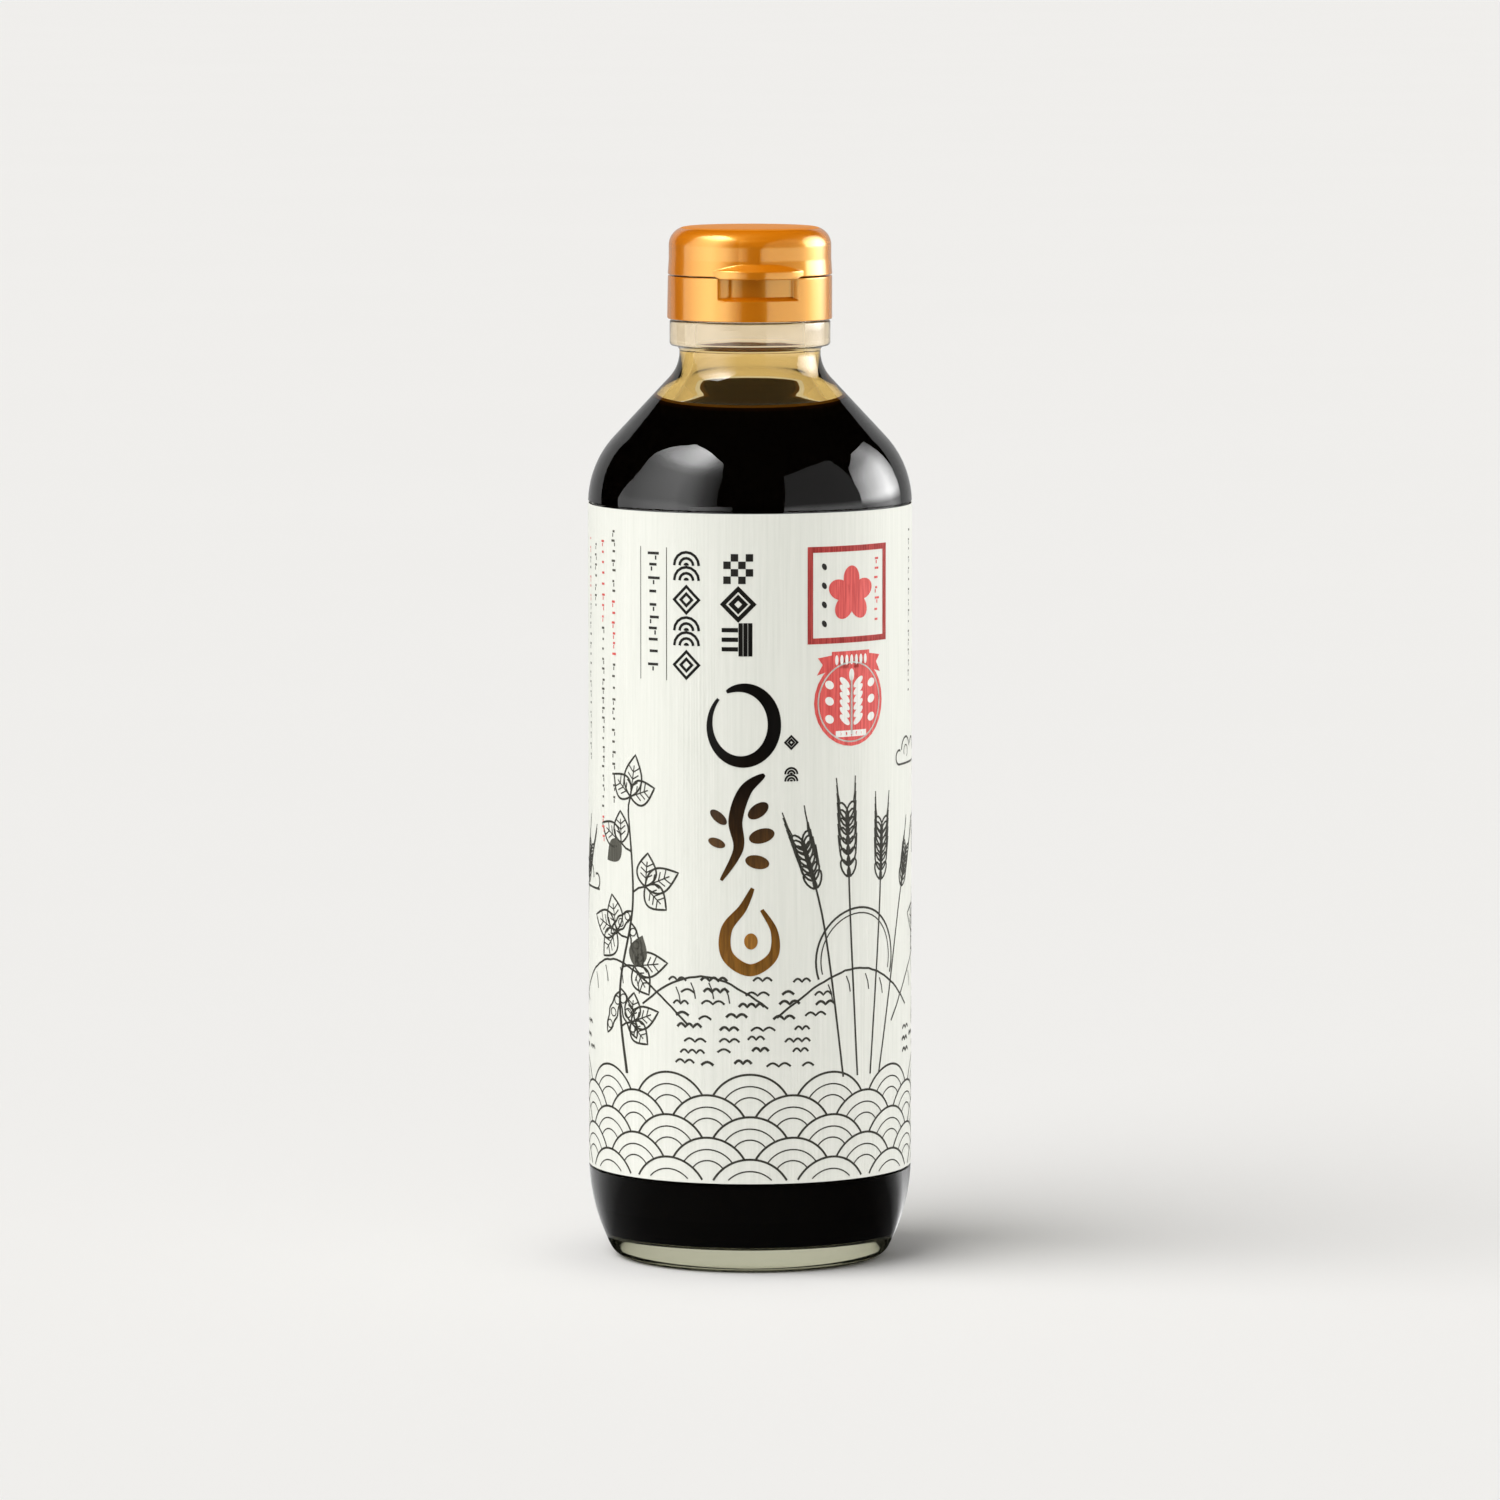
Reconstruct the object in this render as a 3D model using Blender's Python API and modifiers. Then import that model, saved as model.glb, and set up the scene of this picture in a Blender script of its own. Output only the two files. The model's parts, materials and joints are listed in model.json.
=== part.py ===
"""A 600 ml glass soy sauce bottle with a paper label and a hinged flip-top cap.

Metres, +Z up. The origin is the middle of the base, on the surface that the bottle stands on.
-Y is the front. The cap is screwed on with its thumb tab a little to the right of the front.
"""

import math

import bmesh
import bpy

# Roundness of every turned piece. One count for all, so that nested pieces have parallel facets.
SEGMENTS = 48
MERGE_DISTANCE = 0.00001

# Fineness of the arcs in the turned outlines
SHOULDER_STEPS = 7
NECK_STEPS = 5
HEEL_STEPS = 5
FOOT_STEPS = 4
LID_CORNER_STEPS = 6
EDGE_STEPS = 3
SMALL_EDGE_STEPS = 2

# How far a cutter runs past the surface that it cuts
OVERCUT = 0.002

# Gap kept between pieces that touch in the real bottle
CONTACT_GAP = 0.0003

# Paper label, wrapped round a shallow recess in the body, its ends a little apart at the back
LABEL_BOTTOM = 0.0209
LABEL_TOP = 0.1695
LABEL_THICKNESS = 0.0002
LABEL_END_GAP = 0.003
RECESS_BOTTOM = LABEL_BOTTOM - CONTACT_GAP
RECESS_TOP = LABEL_TOP + CONTACT_GAP
RECESS_RAMP = 0.0003

# Glass, outside: body, rounded heel and foot
BODY_RADIUS = 0.0362
HEEL_LEVEL = 0.0220
HEEL_ARC_RADIUS = 0.043
FOOT_ARC_RADIUS = 0.004
STAND_RING_INNER = 0.0235
PUNT_HEIGHT = 0.0024
PUNT_BREAK = 0.6

# Glass, outside: shoulder, neck and the collar under the cap
SHOULDER_LEVEL = 0.1694
SHOULDER_ARC_RADIUS = 0.0219
NECK_RADIUS = 0.01575
NECK_LEVEL = 0.2033
NECK_ARC_RADIUS = 0.0085
COLLAR_RADIUS = 0.01793
COLLAR_BOTTOM = 0.2046
COLLAR_TOP = 0.2103
COLLAR_EDGE = 0.0008
NECK_FILLET = 0.0012
FINISH_RADIUS = 0.0147
MOUTH_TOP = 0.2175
LIP_EDGE = 0.0010

# Glass, inside: thick at the neck and the base, thin at the body
BODY_WALL = 0.0029
BORE_RADIUS = 0.0123
BORE_BOTTOM = 0.201
BORE_ARC_RADIUS = 0.014
INNER_SHOULDER_LEVEL = 0.168
INNER_SHOULDER_ARC = 0.020
BASE_THICKNESS = 0.0052
INNER_CORNER_RADIUS = 0.006

# Soy sauce
SAUCE_LEVEL = 0.1897
MENISCUS_RISE = 0.0008
MENISCUS_WIDTH = 0.0016

# Cap base: the skirt that grips the neck, its deck and the pouring spout
CAP_TURN = math.radians(6.5)
CAP_BOTTOM = 0.2106
CAP_RADIUS_LOW = 0.01847
CAP_RADIUS_HIGH = 0.01832
CAP_EDGE = 0.0004
PARTING_LEVEL = 0.2204
DECK_TOP = 0.2196
DECK_UNDERSIDE = 0.2179
RIM_WIDTH = 0.0026
SPOUT_HOLE_RADIUS = 0.0034
SPOUT_RADIUS = 0.0047
SPOUT_LIP_RADIUS = 0.0055
SPOUT_TOP = 0.2254

# Thumb pocket in the cap base, under the tab
POCKET_HALF_ANGLE = math.radians(29.5)
POCKET_BOTTOM = 0.2153
POCKET_DEPTH = 0.0016
POCKET_CORNER = 0.0012
POCKET_SIDE_SLOPE = 3.0
POCKET_MARGIN = 0.0004
POCKET_COLUMNS = 30
POCKET_ROWS = 10

# Flip lid
LID_TOP = 0.2313
LID_TOP_RADIUS = 0.01812
LID_FLARE_LEVEL = 0.2240
LID_CORNER = 0.0041
LID_CROWN = 0.0002
LID_WALL = 0.0012
LID_TOP_THICKNESS = 0.0014
SEAL_PIN_RADIUS = 0.0030
SEAL_PIN_TIP_RADIUS = 0.0025
SEAL_PIN_DEPTH = 0.0011

# Thumb tab: a low cone about an upright axis in front of the cap's own
TAB_HALF_WIDTH = 0.00995
TAB_PROTRUSION = 0.0013
TAB_EDGE_HEIGHT = 0.0014
TAB_EDGE_ROUND = 0.0003
TAB_SLOPE_TOP = 0.2235

# Hinge lugs at the back, one on each half, with the hinge line between their flat outer faces
HINGE_Y = 0.0187
LUG_HALF_WIDTH = 0.0058
LUG_HEIGHT = 0.0030
LUG_ROOT_Y = 0.0172
LUG_CHAMFER = 0.0003

# Colours as seen in the photograph, linear
GLASS_COLOUR = (0.86, 0.90, 0.80, 1.0)
SAUCE_COLOUR = (0.012, 0.006, 0.003, 1.0)
PAPER_COLOUR = (0.76, 0.77, 0.72, 1.0)
CAP_COLOUR = (0.80, 0.25, 0.01, 1.0)

# Finishes: the roughness of each surface, and how metallic the pearly plastic looks
GLASS_ROUGHNESS = 0.03
SAUCE_ROUGHNESS = 0.05
PAPER_ROUGHNESS = 0.6
CAP_ROUGHNESS = 0.25
CAP_PEARL = 0.4


def arc(centre, radius, start, end, steps):
    """Points along an arc in the (radius, height) plane, angles in radians, both ends included."""
    angles = (start + (end - start) * i / steps for i in range(steps + 1))
    return [(centre[0] + radius * math.cos(a), centre[1] + radius * math.sin(a)) for a in angles]


def flank_angle(low_centre, low_radius, high_centre, high_radius):
    """Direction of the normal of the straight flank between a convex and a concave arc."""
    across = high_centre[0] - low_centre[0]
    up = high_centre[1] - low_centre[1]
    lean = math.acos((low_radius + high_radius) / math.hypot(across, up))
    return math.atan2(up, across) - lean


def corner_in_arc(big_centre, big_radius, small_radius, floor):
    """Centre and end angle of a small arc that stands on a floor and runs into a big arc."""
    rise = floor + small_radius - big_centre[1]
    across = math.sqrt((big_radius - small_radius) ** 2 - rise**2)
    centre = (big_centre[0] + across, floor + small_radius)
    return centre, math.atan2(rise, across)


def shoulder(body_radius, level, low_radius, neck_radius, neck_level, high_radius, start=None):
    """The convex shoulder, its straight flank and the concave neck, upwards from a start height."""
    low_centre = (body_radius - low_radius, level)
    high_centre = (neck_radius + high_radius, neck_level)
    normal = flank_angle(low_centre, low_radius, high_centre, high_radius)
    first = math.asin((start - level) / low_radius) if start else 0.0
    convex = arc(low_centre, low_radius, first, normal, SHOULDER_STEPS)
    concave = arc(high_centre, high_radius, math.pi + normal, math.pi, NECK_STEPS)
    return convex + concave


def heel(body_radius, arc_radius, corner_radius, floor, end=HEEL_LEVEL):
    """The rounded foot and heel, from the floor up to an end height."""
    heel_centre = (body_radius - arc_radius, HEEL_LEVEL)
    corner_centre, meeting = corner_in_arc(heel_centre, arc_radius, corner_radius, floor)
    foot = arc(corner_centre, corner_radius, -math.pi / 2, meeting, FOOT_STEPS)
    last = math.asin((end - HEEL_LEVEL) / arc_radius)
    return foot + arc(heel_centre, arc_radius, meeting, last, HEEL_STEPS)[1:]


def cavity_outline(inset):
    """The glass's inner wall, from the middle of its floor up to the bore, moved in by inset."""
    wall_radius = BODY_RADIUS - BODY_WALL - inset
    floor = BASE_THICKNESS + inset
    inner_heel = heel(wall_radius, HEEL_ARC_RADIUS - BODY_WALL - inset, INNER_CORNER_RADIUS - inset, floor)
    inner_shoulder = shoulder(
        wall_radius,
        INNER_SHOULDER_LEVEL,
        INNER_SHOULDER_ARC - inset,
        BORE_RADIUS - inset,
        BORE_BOTTOM,
        BORE_ARC_RADIUS + inset,
    )
    middle = (0.0, floor + PUNT_HEIGHT)
    return [middle] + inner_heel + inner_shoulder


def radius_at(outline, height):
    """The radius where an outline that runs upwards passes a height."""
    for (r0, z0), (r1, z1) in zip(outline, outline[1:]):
        if z0 <= height <= z1:
            return r0 + (r1 - r0) * (height - z0) / (z1 - z0)
    raise ValueError("the outline doesn't reach that height")


def collar_and_finish():
    """The neck, the collar and the finish inside the cap, from the neck up to the mouth."""
    edge = COLLAR_EDGE
    quarter = math.pi / 2
    fillet = NECK_FILLET
    under = [(NECK_RADIUS, COLLAR_BOTTOM - fillet), (NECK_RADIUS + fillet / 3, COLLAR_BOTTOM - fillet / 3)]
    low_edge = arc((COLLAR_RADIUS - edge, COLLAR_BOTTOM + edge), edge, -quarter, 0.0, EDGE_STEPS)
    high_centre = (COLLAR_RADIUS - edge / 2, COLLAR_TOP - edge / 2)
    high_edge = arc(high_centre, edge / 2, 0.0, quarter, SMALL_EDGE_STEPS)
    lip_centre = (FINISH_RADIUS - LIP_EDGE, MOUTH_TOP - LIP_EDGE)
    lip = arc(lip_centre, LIP_EDGE, 0.0, quarter, EDGE_STEPS)
    return under + low_edge + high_edge + [(FINISH_RADIUS, COLLAR_TOP)] + lip


def label_recess():
    """The floor of the shallow band that the label lies in, from the heel to the shoulder."""
    floor = BODY_RADIUS - CONTACT_GAP - LABEL_THICKNESS
    return [(floor, RECESS_BOTTOM), (floor, RECESS_TOP)]


def glass_outline():
    """The whole wall of the bottle: up the inside, over the mouth and down the outside."""
    inside = cavity_outline(0.0)
    lip_centre = (BORE_RADIUS + LIP_EDGE, MOUTH_TOP - LIP_EDGE)
    mouth = arc(lip_centre, LIP_EDGE, math.pi, math.pi / 2, EDGE_STEPS)
    outside = heel(
        BODY_RADIUS, HEEL_ARC_RADIUS, FOOT_ARC_RADIUS, 0.0, end=RECESS_BOTTOM - RECESS_RAMP
    )
    outside += label_recess()
    outside += shoulder(
        BODY_RADIUS,
        SHOULDER_LEVEL,
        SHOULDER_ARC_RADIUS,
        NECK_RADIUS,
        NECK_LEVEL,
        NECK_ARC_RADIUS,
        start=RECESS_TOP + RECESS_RAMP,
    )
    outside += collar_and_finish()
    punt_break = (STAND_RING_INNER * PUNT_BREAK, PUNT_HEIGHT * (1 - PUNT_BREAK**2))
    base = [(STAND_RING_INNER, 0.0), punt_break, (0.0, PUNT_HEIGHT)]
    return inside + mouth + outside[::-1] + base


def sauce_outline():
    """The filling, from the middle of its surface down its side to the middle of its foot."""
    wall = cavity_outline(CONTACT_GAP)
    rim_height = SAUCE_LEVEL + MENISCUS_RISE
    rim_radius = radius_at(wall, rim_height)
    wetted = [point for point in wall if point[1] < rim_height]
    surface = [
        (0.0, SAUCE_LEVEL),
        (rim_radius - MENISCUS_WIDTH, SAUCE_LEVEL),
        (rim_radius - MENISCUS_WIDTH / 4, SAUCE_LEVEL + MENISCUS_RISE / 3),
        (rim_radius, rim_height),
    ]
    return surface + wetted[::-1]


def cap_base_outline():
    """A closed loop: down the skirt, up the bore that holds the neck and round the spout."""
    bore = FINISH_RADIUS + CONTACT_GAP
    quarter = math.pi / 2
    rim = PARTING_LEVEL - CONTACT_GAP / 2
    top_edge = CAP_EDGE / 2
    top_centre = (CAP_RADIUS_HIGH - top_edge, rim - top_edge)
    foot_centre = (CAP_RADIUS_LOW - CAP_EDGE, CAP_BOTTOM + CAP_EDGE)
    outside = arc(top_centre, top_edge, quarter, 0.0, SMALL_EDGE_STEPS)
    outside += arc(foot_centre, CAP_EDGE, 0.0, -quarter, EDGE_STEPS)
    inside = [(bore, CAP_BOTTOM), (bore, DECK_UNDERSIDE), (SPOUT_HOLE_RADIUS, DECK_UNDERSIDE)]
    lip_drop = SPOUT_LIP_RADIUS - SPOUT_RADIUS
    spout = [
        (SPOUT_HOLE_RADIUS, SPOUT_TOP - lip_drop / 2),
        (SPOUT_HOLE_RADIUS + lip_drop / 2, SPOUT_TOP),
        (SPOUT_LIP_RADIUS, SPOUT_TOP),
        (SPOUT_LIP_RADIUS, SPOUT_TOP - lip_drop / 2),
        (SPOUT_RADIUS, SPOUT_TOP - 2 * lip_drop),
        (SPOUT_RADIUS, DECK_TOP),
    ]
    deck = [(CAP_RADIUS_HIGH - RIM_WIDTH, DECK_TOP), (CAP_RADIUS_HIGH - RIM_WIDTH, rim)]
    return outside + inside + spout + deck


def lid_outline():
    """The lid, from the middle of its top down its outside and back up to the seal pin's tip."""
    rim = PARTING_LEVEL + CONTACT_GAP / 2
    quarter = math.pi / 2
    edge = LID_TOP - LID_CROWN
    corner_centre = (LID_TOP_RADIUS - LID_CORNER, edge - LID_CORNER)
    top = [(0.0, LID_TOP)] + arc(corner_centre, LID_CORNER, quarter, 0.0, LID_CORNER_STEPS)
    top.append((LID_TOP_RADIUS, LID_FLARE_LEVEL))
    inner = CAP_RADIUS_HIGH - LID_WALL
    ceiling = LID_TOP - LID_TOP_THICKNESS
    inner_round = LID_CORNER / 2
    inner_centre = (inner - inner_round, ceiling - inner_round)
    inner_corner = arc(inner_centre, inner_round, 0.0, quarter, EDGE_STEPS)
    wall = [(CAP_RADIUS_HIGH, rim), (inner, rim)]
    pin = [
        (SEAL_PIN_RADIUS, ceiling),
        (SEAL_PIN_RADIUS, SPOUT_TOP),
        (SEAL_PIN_TIP_RADIUS, SPOUT_TOP - SEAL_PIN_DEPTH),
        (0.0, SPOUT_TOP - SEAL_PIN_DEPTH),
    ]
    return top + wall + inner_corner + pin


def material(name, colour, roughness, metallic=0.0, transmission=0.0):
    made = bpy.data.materials.new(name)
    made.use_nodes = True
    shader = made.node_tree.nodes["Principled BSDF"]
    shader.inputs["Base Color"].default_value = colour
    shader.inputs["Roughness"].default_value = roughness
    shader.inputs["Metallic"].default_value = metallic
    shader.inputs["Transmission Weight"].default_value = transmission
    return made


def new_object(name, mesh, collection):
    made = bpy.data.objects.new(name, mesh)
    collection.objects.link(made)
    return made


def helper(obj):
    """Marks a cutter or another piece that only shapes its neighbours."""
    obj.hide_render = True
    obj.display_type = "WIRE"
    return obj


def turned(name, outline, collection, closed=False, angle=math.tau):
    """A turned piece: its outline with a Screw modifier about Z."""
    count = len(outline)
    edges = [(i, i + 1) for i in range(count - 1)]
    if closed:
        edges.append((count - 1, 0))
    mesh = bpy.data.meshes.new(name)
    mesh.from_pydata([(r, 0.0, z) for r, z in outline], edges, [])
    made = new_object(name, mesh, collection)
    screw = made.modifiers.new("turn", "SCREW")
    screw.axis = "Z"
    screw.angle = angle
    screw.steps = SEGMENTS
    screw.render_steps = SEGMENTS
    screw.use_merge_vertices = True
    screw.merge_threshold = MERGE_DISTANCE
    screw.use_smooth_shade = True
    return made


def boolean(obj, other, operation):
    cut = obj.modifiers.new(operation.lower(), "BOOLEAN")
    cut.object = other
    cut.operation = operation
    cut.solver = "EXACT"


def box(name, low, high, collection):
    """A box between two corners."""
    mesh = bpy.data.meshes.new(name)
    shape = bmesh.new()
    bmesh.ops.create_cube(shape, size=1.0)
    size = [b - a for a, b in zip(low, high)]
    bmesh.ops.scale(shape, vec=size, verts=shape.verts)
    shape.to_mesh(mesh)
    shape.free()
    made = new_object(name, mesh, collection)
    made.location = [(a + b) / 2 for a, b in zip(low, high)]
    return made


def cylinder(name, radius, low, high, collection):
    """An upright cylinder about Z between two heights."""
    mesh = bpy.data.meshes.new(name)
    shape = bmesh.new()
    bmesh.ops.create_cone(
        shape,
        cap_ends=True,
        segments=SEGMENTS,
        radius1=radius,
        radius2=radius,
        depth=high - low,
    )
    shape.to_mesh(mesh)
    shape.free()
    made = new_object(name, mesh, collection)
    made.location.z = (low + high) / 2
    return made


def pocket_depth(along, height):
    """Depth of the thumb pocket at a place on the skirt, negative outside its rounded outline."""
    half_width = POCKET_HALF_ANGLE * CAP_RADIUS_HIGH
    across = POCKET_SIDE_SLOPE * (half_width - abs(along)) - POCKET_CORNER
    above = height - POCKET_BOTTOM - POCKET_CORNER
    if across < 0.0 and above < 0.0:
        inside = POCKET_CORNER - math.hypot(across, above)
    else:
        inside = POCKET_CORNER + min(across, above)
    return min(inside, POCKET_DEPTH)


def pocket_cutter(collection):
    """A block bent round the skirt, whose inner face has the pocket's sides, floor and back."""
    mesh = bpy.data.meshes.new("pocket_cutter")
    shape = bmesh.new()
    bmesh.ops.create_cube(shape, size=2.0)
    level = [e for e in shape.edges if abs(e.verts[0].co.x - e.verts[1].co.x) > 1.0]
    bmesh.ops.subdivide_edges(shape, edges=level, cuts=POCKET_COLUMNS - 1, use_grid_fill=True)
    upright = [e for e in shape.edges if abs(e.verts[0].co.z - e.verts[1].co.z) > 1.0]
    bmesh.ops.subdivide_edges(shape, edges=upright, cuts=POCKET_ROWS - 1, use_grid_fill=True)
    half_angle = POCKET_HALF_ANGLE + POCKET_MARGIN / CAP_RADIUS_HIGH
    low = POCKET_BOTTOM - POCKET_MARGIN
    high = PARTING_LEVEL + OVERCUT
    for vertex in shape.verts:
        angle = vertex.co.x * half_angle
        height = low + (high - low) * (vertex.co.z + 1.0) / 2
        radius = CAP_RADIUS_LOW + OVERCUT
        if vertex.co.y > 0.0:
            radius = CAP_RADIUS_HIGH - pocket_depth(angle * CAP_RADIUS_HIGH, height)
        vertex.co = (radius * math.sin(angle), -radius * math.cos(angle), height)
    bmesh.ops.recalc_face_normals(shape, faces=shape.faces)
    shape.to_mesh(mesh)
    shape.free()
    return helper(new_object("pocket_cutter", mesh, collection))


def thumb_tab(collection):
    """The lid's tab: a low cone less the core that lies inside the lid's wall."""
    rim = PARTING_LEVEL + CONTACT_GAP / 2
    reach = CAP_RADIUS_HIGH + TAB_PROTRUSION
    bulge = reach - math.sqrt(CAP_RADIUS_HIGH**2 - TAB_HALF_WIDTH**2)
    tab_radius = (TAB_HALF_WIDTH**2 + bulge**2) / (2 * bulge)
    axis_y = -(reach - tab_radius)
    outline = [
        (0.0, TAB_SLOPE_TOP),
        (tab_radius - TAB_PROTRUSION, TAB_SLOPE_TOP),
        (tab_radius - TAB_EDGE_ROUND, rim + TAB_EDGE_HEIGHT),
        (tab_radius, rim + TAB_EDGE_HEIGHT - TAB_EDGE_ROUND),
        (tab_radius, rim + TAB_EDGE_ROUND / 2),
        (tab_radius - TAB_EDGE_ROUND / 2, rim),
        (0.0, rim),
    ]
    tab = helper(turned("thumb_tab", outline, collection))
    tab.location.y = axis_y
    wall_middle = CAP_RADIUS_HIGH - LID_WALL / 2
    core = cylinder("tab_core", wall_middle, rim - OVERCUT, TAB_SLOPE_TOP + OVERCUT, collection)
    boolean(tab, helper(core), "DIFFERENCE")
    return tab, core


def hinge_lug(name, upper, collection):
    """One half of the hinge: a block at the back, chamfered along the hinge line."""
    near = PARTING_LEVEL + (CONTACT_GAP / 2 if upper else -CONTACT_GAP / 2)
    far = near + (LUG_HEIGHT if upper else -LUG_HEIGHT)
    low = (-LUG_HALF_WIDTH, LUG_ROOT_Y, min(near, far))
    high = (LUG_HALF_WIDTH, HINGE_Y, max(near, far))
    lug = helper(box(name, low, high, collection))
    bevel = lug.modifiers.new("chamfer", "BEVEL")
    bevel.width = LUG_CHAMFER
    bevel.segments = 1
    return lug


def build_bottle(parts):
    glass = turned("glass_bottle", glass_outline(), parts)
    glass.data.materials.append(material("clear_glass", GLASS_COLOUR, GLASS_ROUGHNESS, transmission=1.0))
    sauce = turned("soy_sauce", sauce_outline(), parts)
    sauce.data.materials.append(material("soy_sauce", SAUCE_COLOUR, SAUCE_ROUGHNESS))


def build_label(parts):
    """The label: an open sheet turned most of the way round, with its ends at the back."""
    gap_angle = LABEL_END_GAP / BODY_RADIUS
    sheet = [(BODY_RADIUS, LABEL_TOP), (BODY_RADIUS, LABEL_BOTTOM)]
    label = turned("label", sheet, parts, angle=math.tau - gap_angle)
    label.rotation_euler.z = math.pi / 2 + gap_angle / 2
    solidify = label.modifiers.new("paper", "SOLIDIFY")
    solidify.thickness = LABEL_THICKNESS
    solidify.offset = -1.0
    label.data.materials.append(material("label_paper", PAPER_COLOUR, PAPER_ROUGHNESS))


def empty(name, collection, parent=None):
    made = new_object(name, None, collection)
    made.parent = parent
    return made


def build_cap(parts, helpers):
    """Both halves of the cap, turned on the neck, with the lid's origin on its hinge line."""
    cap_axis = empty("cap_axis", parts)
    cap_axis.rotation_euler.z = CAP_TURN
    hinge_axis = empty("hinge_axis", parts, cap_axis)
    hinge_axis.location = (0.0, HINGE_Y, PARTING_LEVEL)

    base = turned("cap_base", cap_base_outline(), parts, closed=True)
    base_lug = hinge_lug("base_lug", False, helpers)
    pocket = pocket_cutter(helpers)
    boolean(base, base_lug, "UNION")
    boolean(base, pocket, "DIFFERENCE")

    lid = turned("flip_lid", lid_outline(), parts)
    tab, tab_core = thumb_tab(helpers)
    lid_lug = hinge_lug("lid_lug", True, helpers)
    boolean(lid, tab, "UNION")
    boolean(lid, lid_lug, "UNION")

    for piece in (base, base_lug, pocket, tab, tab_core, lid_lug):
        piece.parent = cap_axis
    lid.parent = hinge_axis
    lid.location = -hinge_axis.location
    plastic = material("cap_plastic", CAP_COLOUR, CAP_ROUGHNESS, metallic=CAP_PEARL)
    base.data.materials.append(plastic)
    lid.data.materials.append(plastic)


def main():
    for obj in list(bpy.data.objects):
        bpy.data.objects.remove(obj)
    scene = bpy.context.scene
    parts = bpy.data.collections.new("soy_sauce_bottle")
    helpers = bpy.data.collections.new("cutters")
    scene.collection.children.link(parts)
    scene.collection.children.link(helpers)
    build_bottle(parts)
    build_label(parts)
    build_cap(parts, helpers)


main()
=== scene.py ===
"""The looks of a 600 ml soy sauce bottle: glass, sauce, ribbed paper label and a pearly flip-top cap.

Sizes are in millimetres, and angles are turned about the bottle's axis from the front (-Y) towards +X,
unless a name says otherwise.
"""
import json
import math
import random

import bmesh
import bpy
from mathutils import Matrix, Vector, noise

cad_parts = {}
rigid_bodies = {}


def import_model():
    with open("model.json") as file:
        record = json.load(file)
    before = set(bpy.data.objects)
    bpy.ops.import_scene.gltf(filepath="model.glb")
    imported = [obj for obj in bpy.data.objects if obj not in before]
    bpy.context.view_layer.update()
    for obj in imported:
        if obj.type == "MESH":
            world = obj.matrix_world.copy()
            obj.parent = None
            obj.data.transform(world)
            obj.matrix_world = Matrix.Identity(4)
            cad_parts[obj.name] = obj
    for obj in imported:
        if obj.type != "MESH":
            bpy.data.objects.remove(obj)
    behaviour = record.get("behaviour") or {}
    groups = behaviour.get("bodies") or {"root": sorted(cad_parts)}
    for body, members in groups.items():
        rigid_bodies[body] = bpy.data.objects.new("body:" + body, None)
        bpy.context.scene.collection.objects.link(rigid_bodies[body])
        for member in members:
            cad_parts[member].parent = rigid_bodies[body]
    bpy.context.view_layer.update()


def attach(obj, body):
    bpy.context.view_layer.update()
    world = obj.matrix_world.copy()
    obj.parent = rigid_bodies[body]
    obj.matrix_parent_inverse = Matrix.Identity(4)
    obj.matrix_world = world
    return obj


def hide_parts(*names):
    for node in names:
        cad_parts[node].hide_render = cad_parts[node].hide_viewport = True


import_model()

MM = 0.001
TAU = math.tau
QUARTER = math.pi / 2

# Fineness of the turned pieces
COLUMNS = 256
ARC_STEPS = 20
MERGE_DISTANCE_M = 0.0000005
SHARP_ANGLE = math.radians(40.0)

# Glass, outside
LABEL_BOTTOM = 20.9
LABEL_TOP = 169.5
LABEL_THICKNESS = 0.2
LABEL_END_GAP = 3.0
CONTACT_GAP = 0.3
RECESS_BOTTOM = LABEL_BOTTOM - CONTACT_GAP
RECESS_TOP = LABEL_TOP + CONTACT_GAP
RECESS_RAMP = 0.3
BODY_RADIUS = 36.2
HEEL_LEVEL = 22.0
HEEL_ARC_RADIUS = 43.0
FOOT_ARC_RADIUS = 4.0
STAND_RING_INNER = 23.5
PUNT_HEIGHT = 2.4
SHOULDER_LEVEL = 169.4
SHOULDER_ARC_RADIUS = 21.9
NECK_RADIUS = 15.75
NECK_LEVEL = 203.3
NECK_ARC_RADIUS = 8.5
COLLAR_RADIUS = 17.93
COLLAR_BOTTOM = 204.6
COLLAR_TOP = 210.3
COLLAR_EDGE = 0.8
NECK_FILLET = 1.2
FINISH_RADIUS = 14.7
MOUTH_TOP = 217.5
LIP_EDGE = 1.0

# Glass, inside
BODY_WALL = 2.9
BORE_RADIUS = 12.3
BORE_BOTTOM = 203.3
BORE_ARC_RADIUS = 16.0
INNER_SHOULDER_LEVEL = 166.0
INNER_SHOULDER_ARC = 20.0
BASE_THICKNESS = 5.8
INNER_CORNER_RADIUS = 3.5
BASE_GLASS_TOP = 12.0

# Sauce: it reaches a little into the wall, so that no air gap shows
SAUCE_LEVEL = 190.5
SAUCE_INTO_WALL = 0.06
# How far below the level the sauce's colour starts to brighten into its painted edge glow
SAUCE_PAINTED_GLOW_DEPTH = 3.0
MENISCUS_RISE = 0.5
MENISCUS_WIDTH = 1.2
MENISCUS_STEPS = 12
MENISCUS_BEND = 2.5

# Which faces belong to which zone of glass, sauce and lid
NECK_GLASS_RADIUS = COLLAR_RADIUS + 4.0
SURFACE_NORMAL = 0.2
LEVEL_SLACK = 0.01
UNDERSIDE_NORMAL = -0.85
LID_TOP_NORMAL = 0.93

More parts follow.
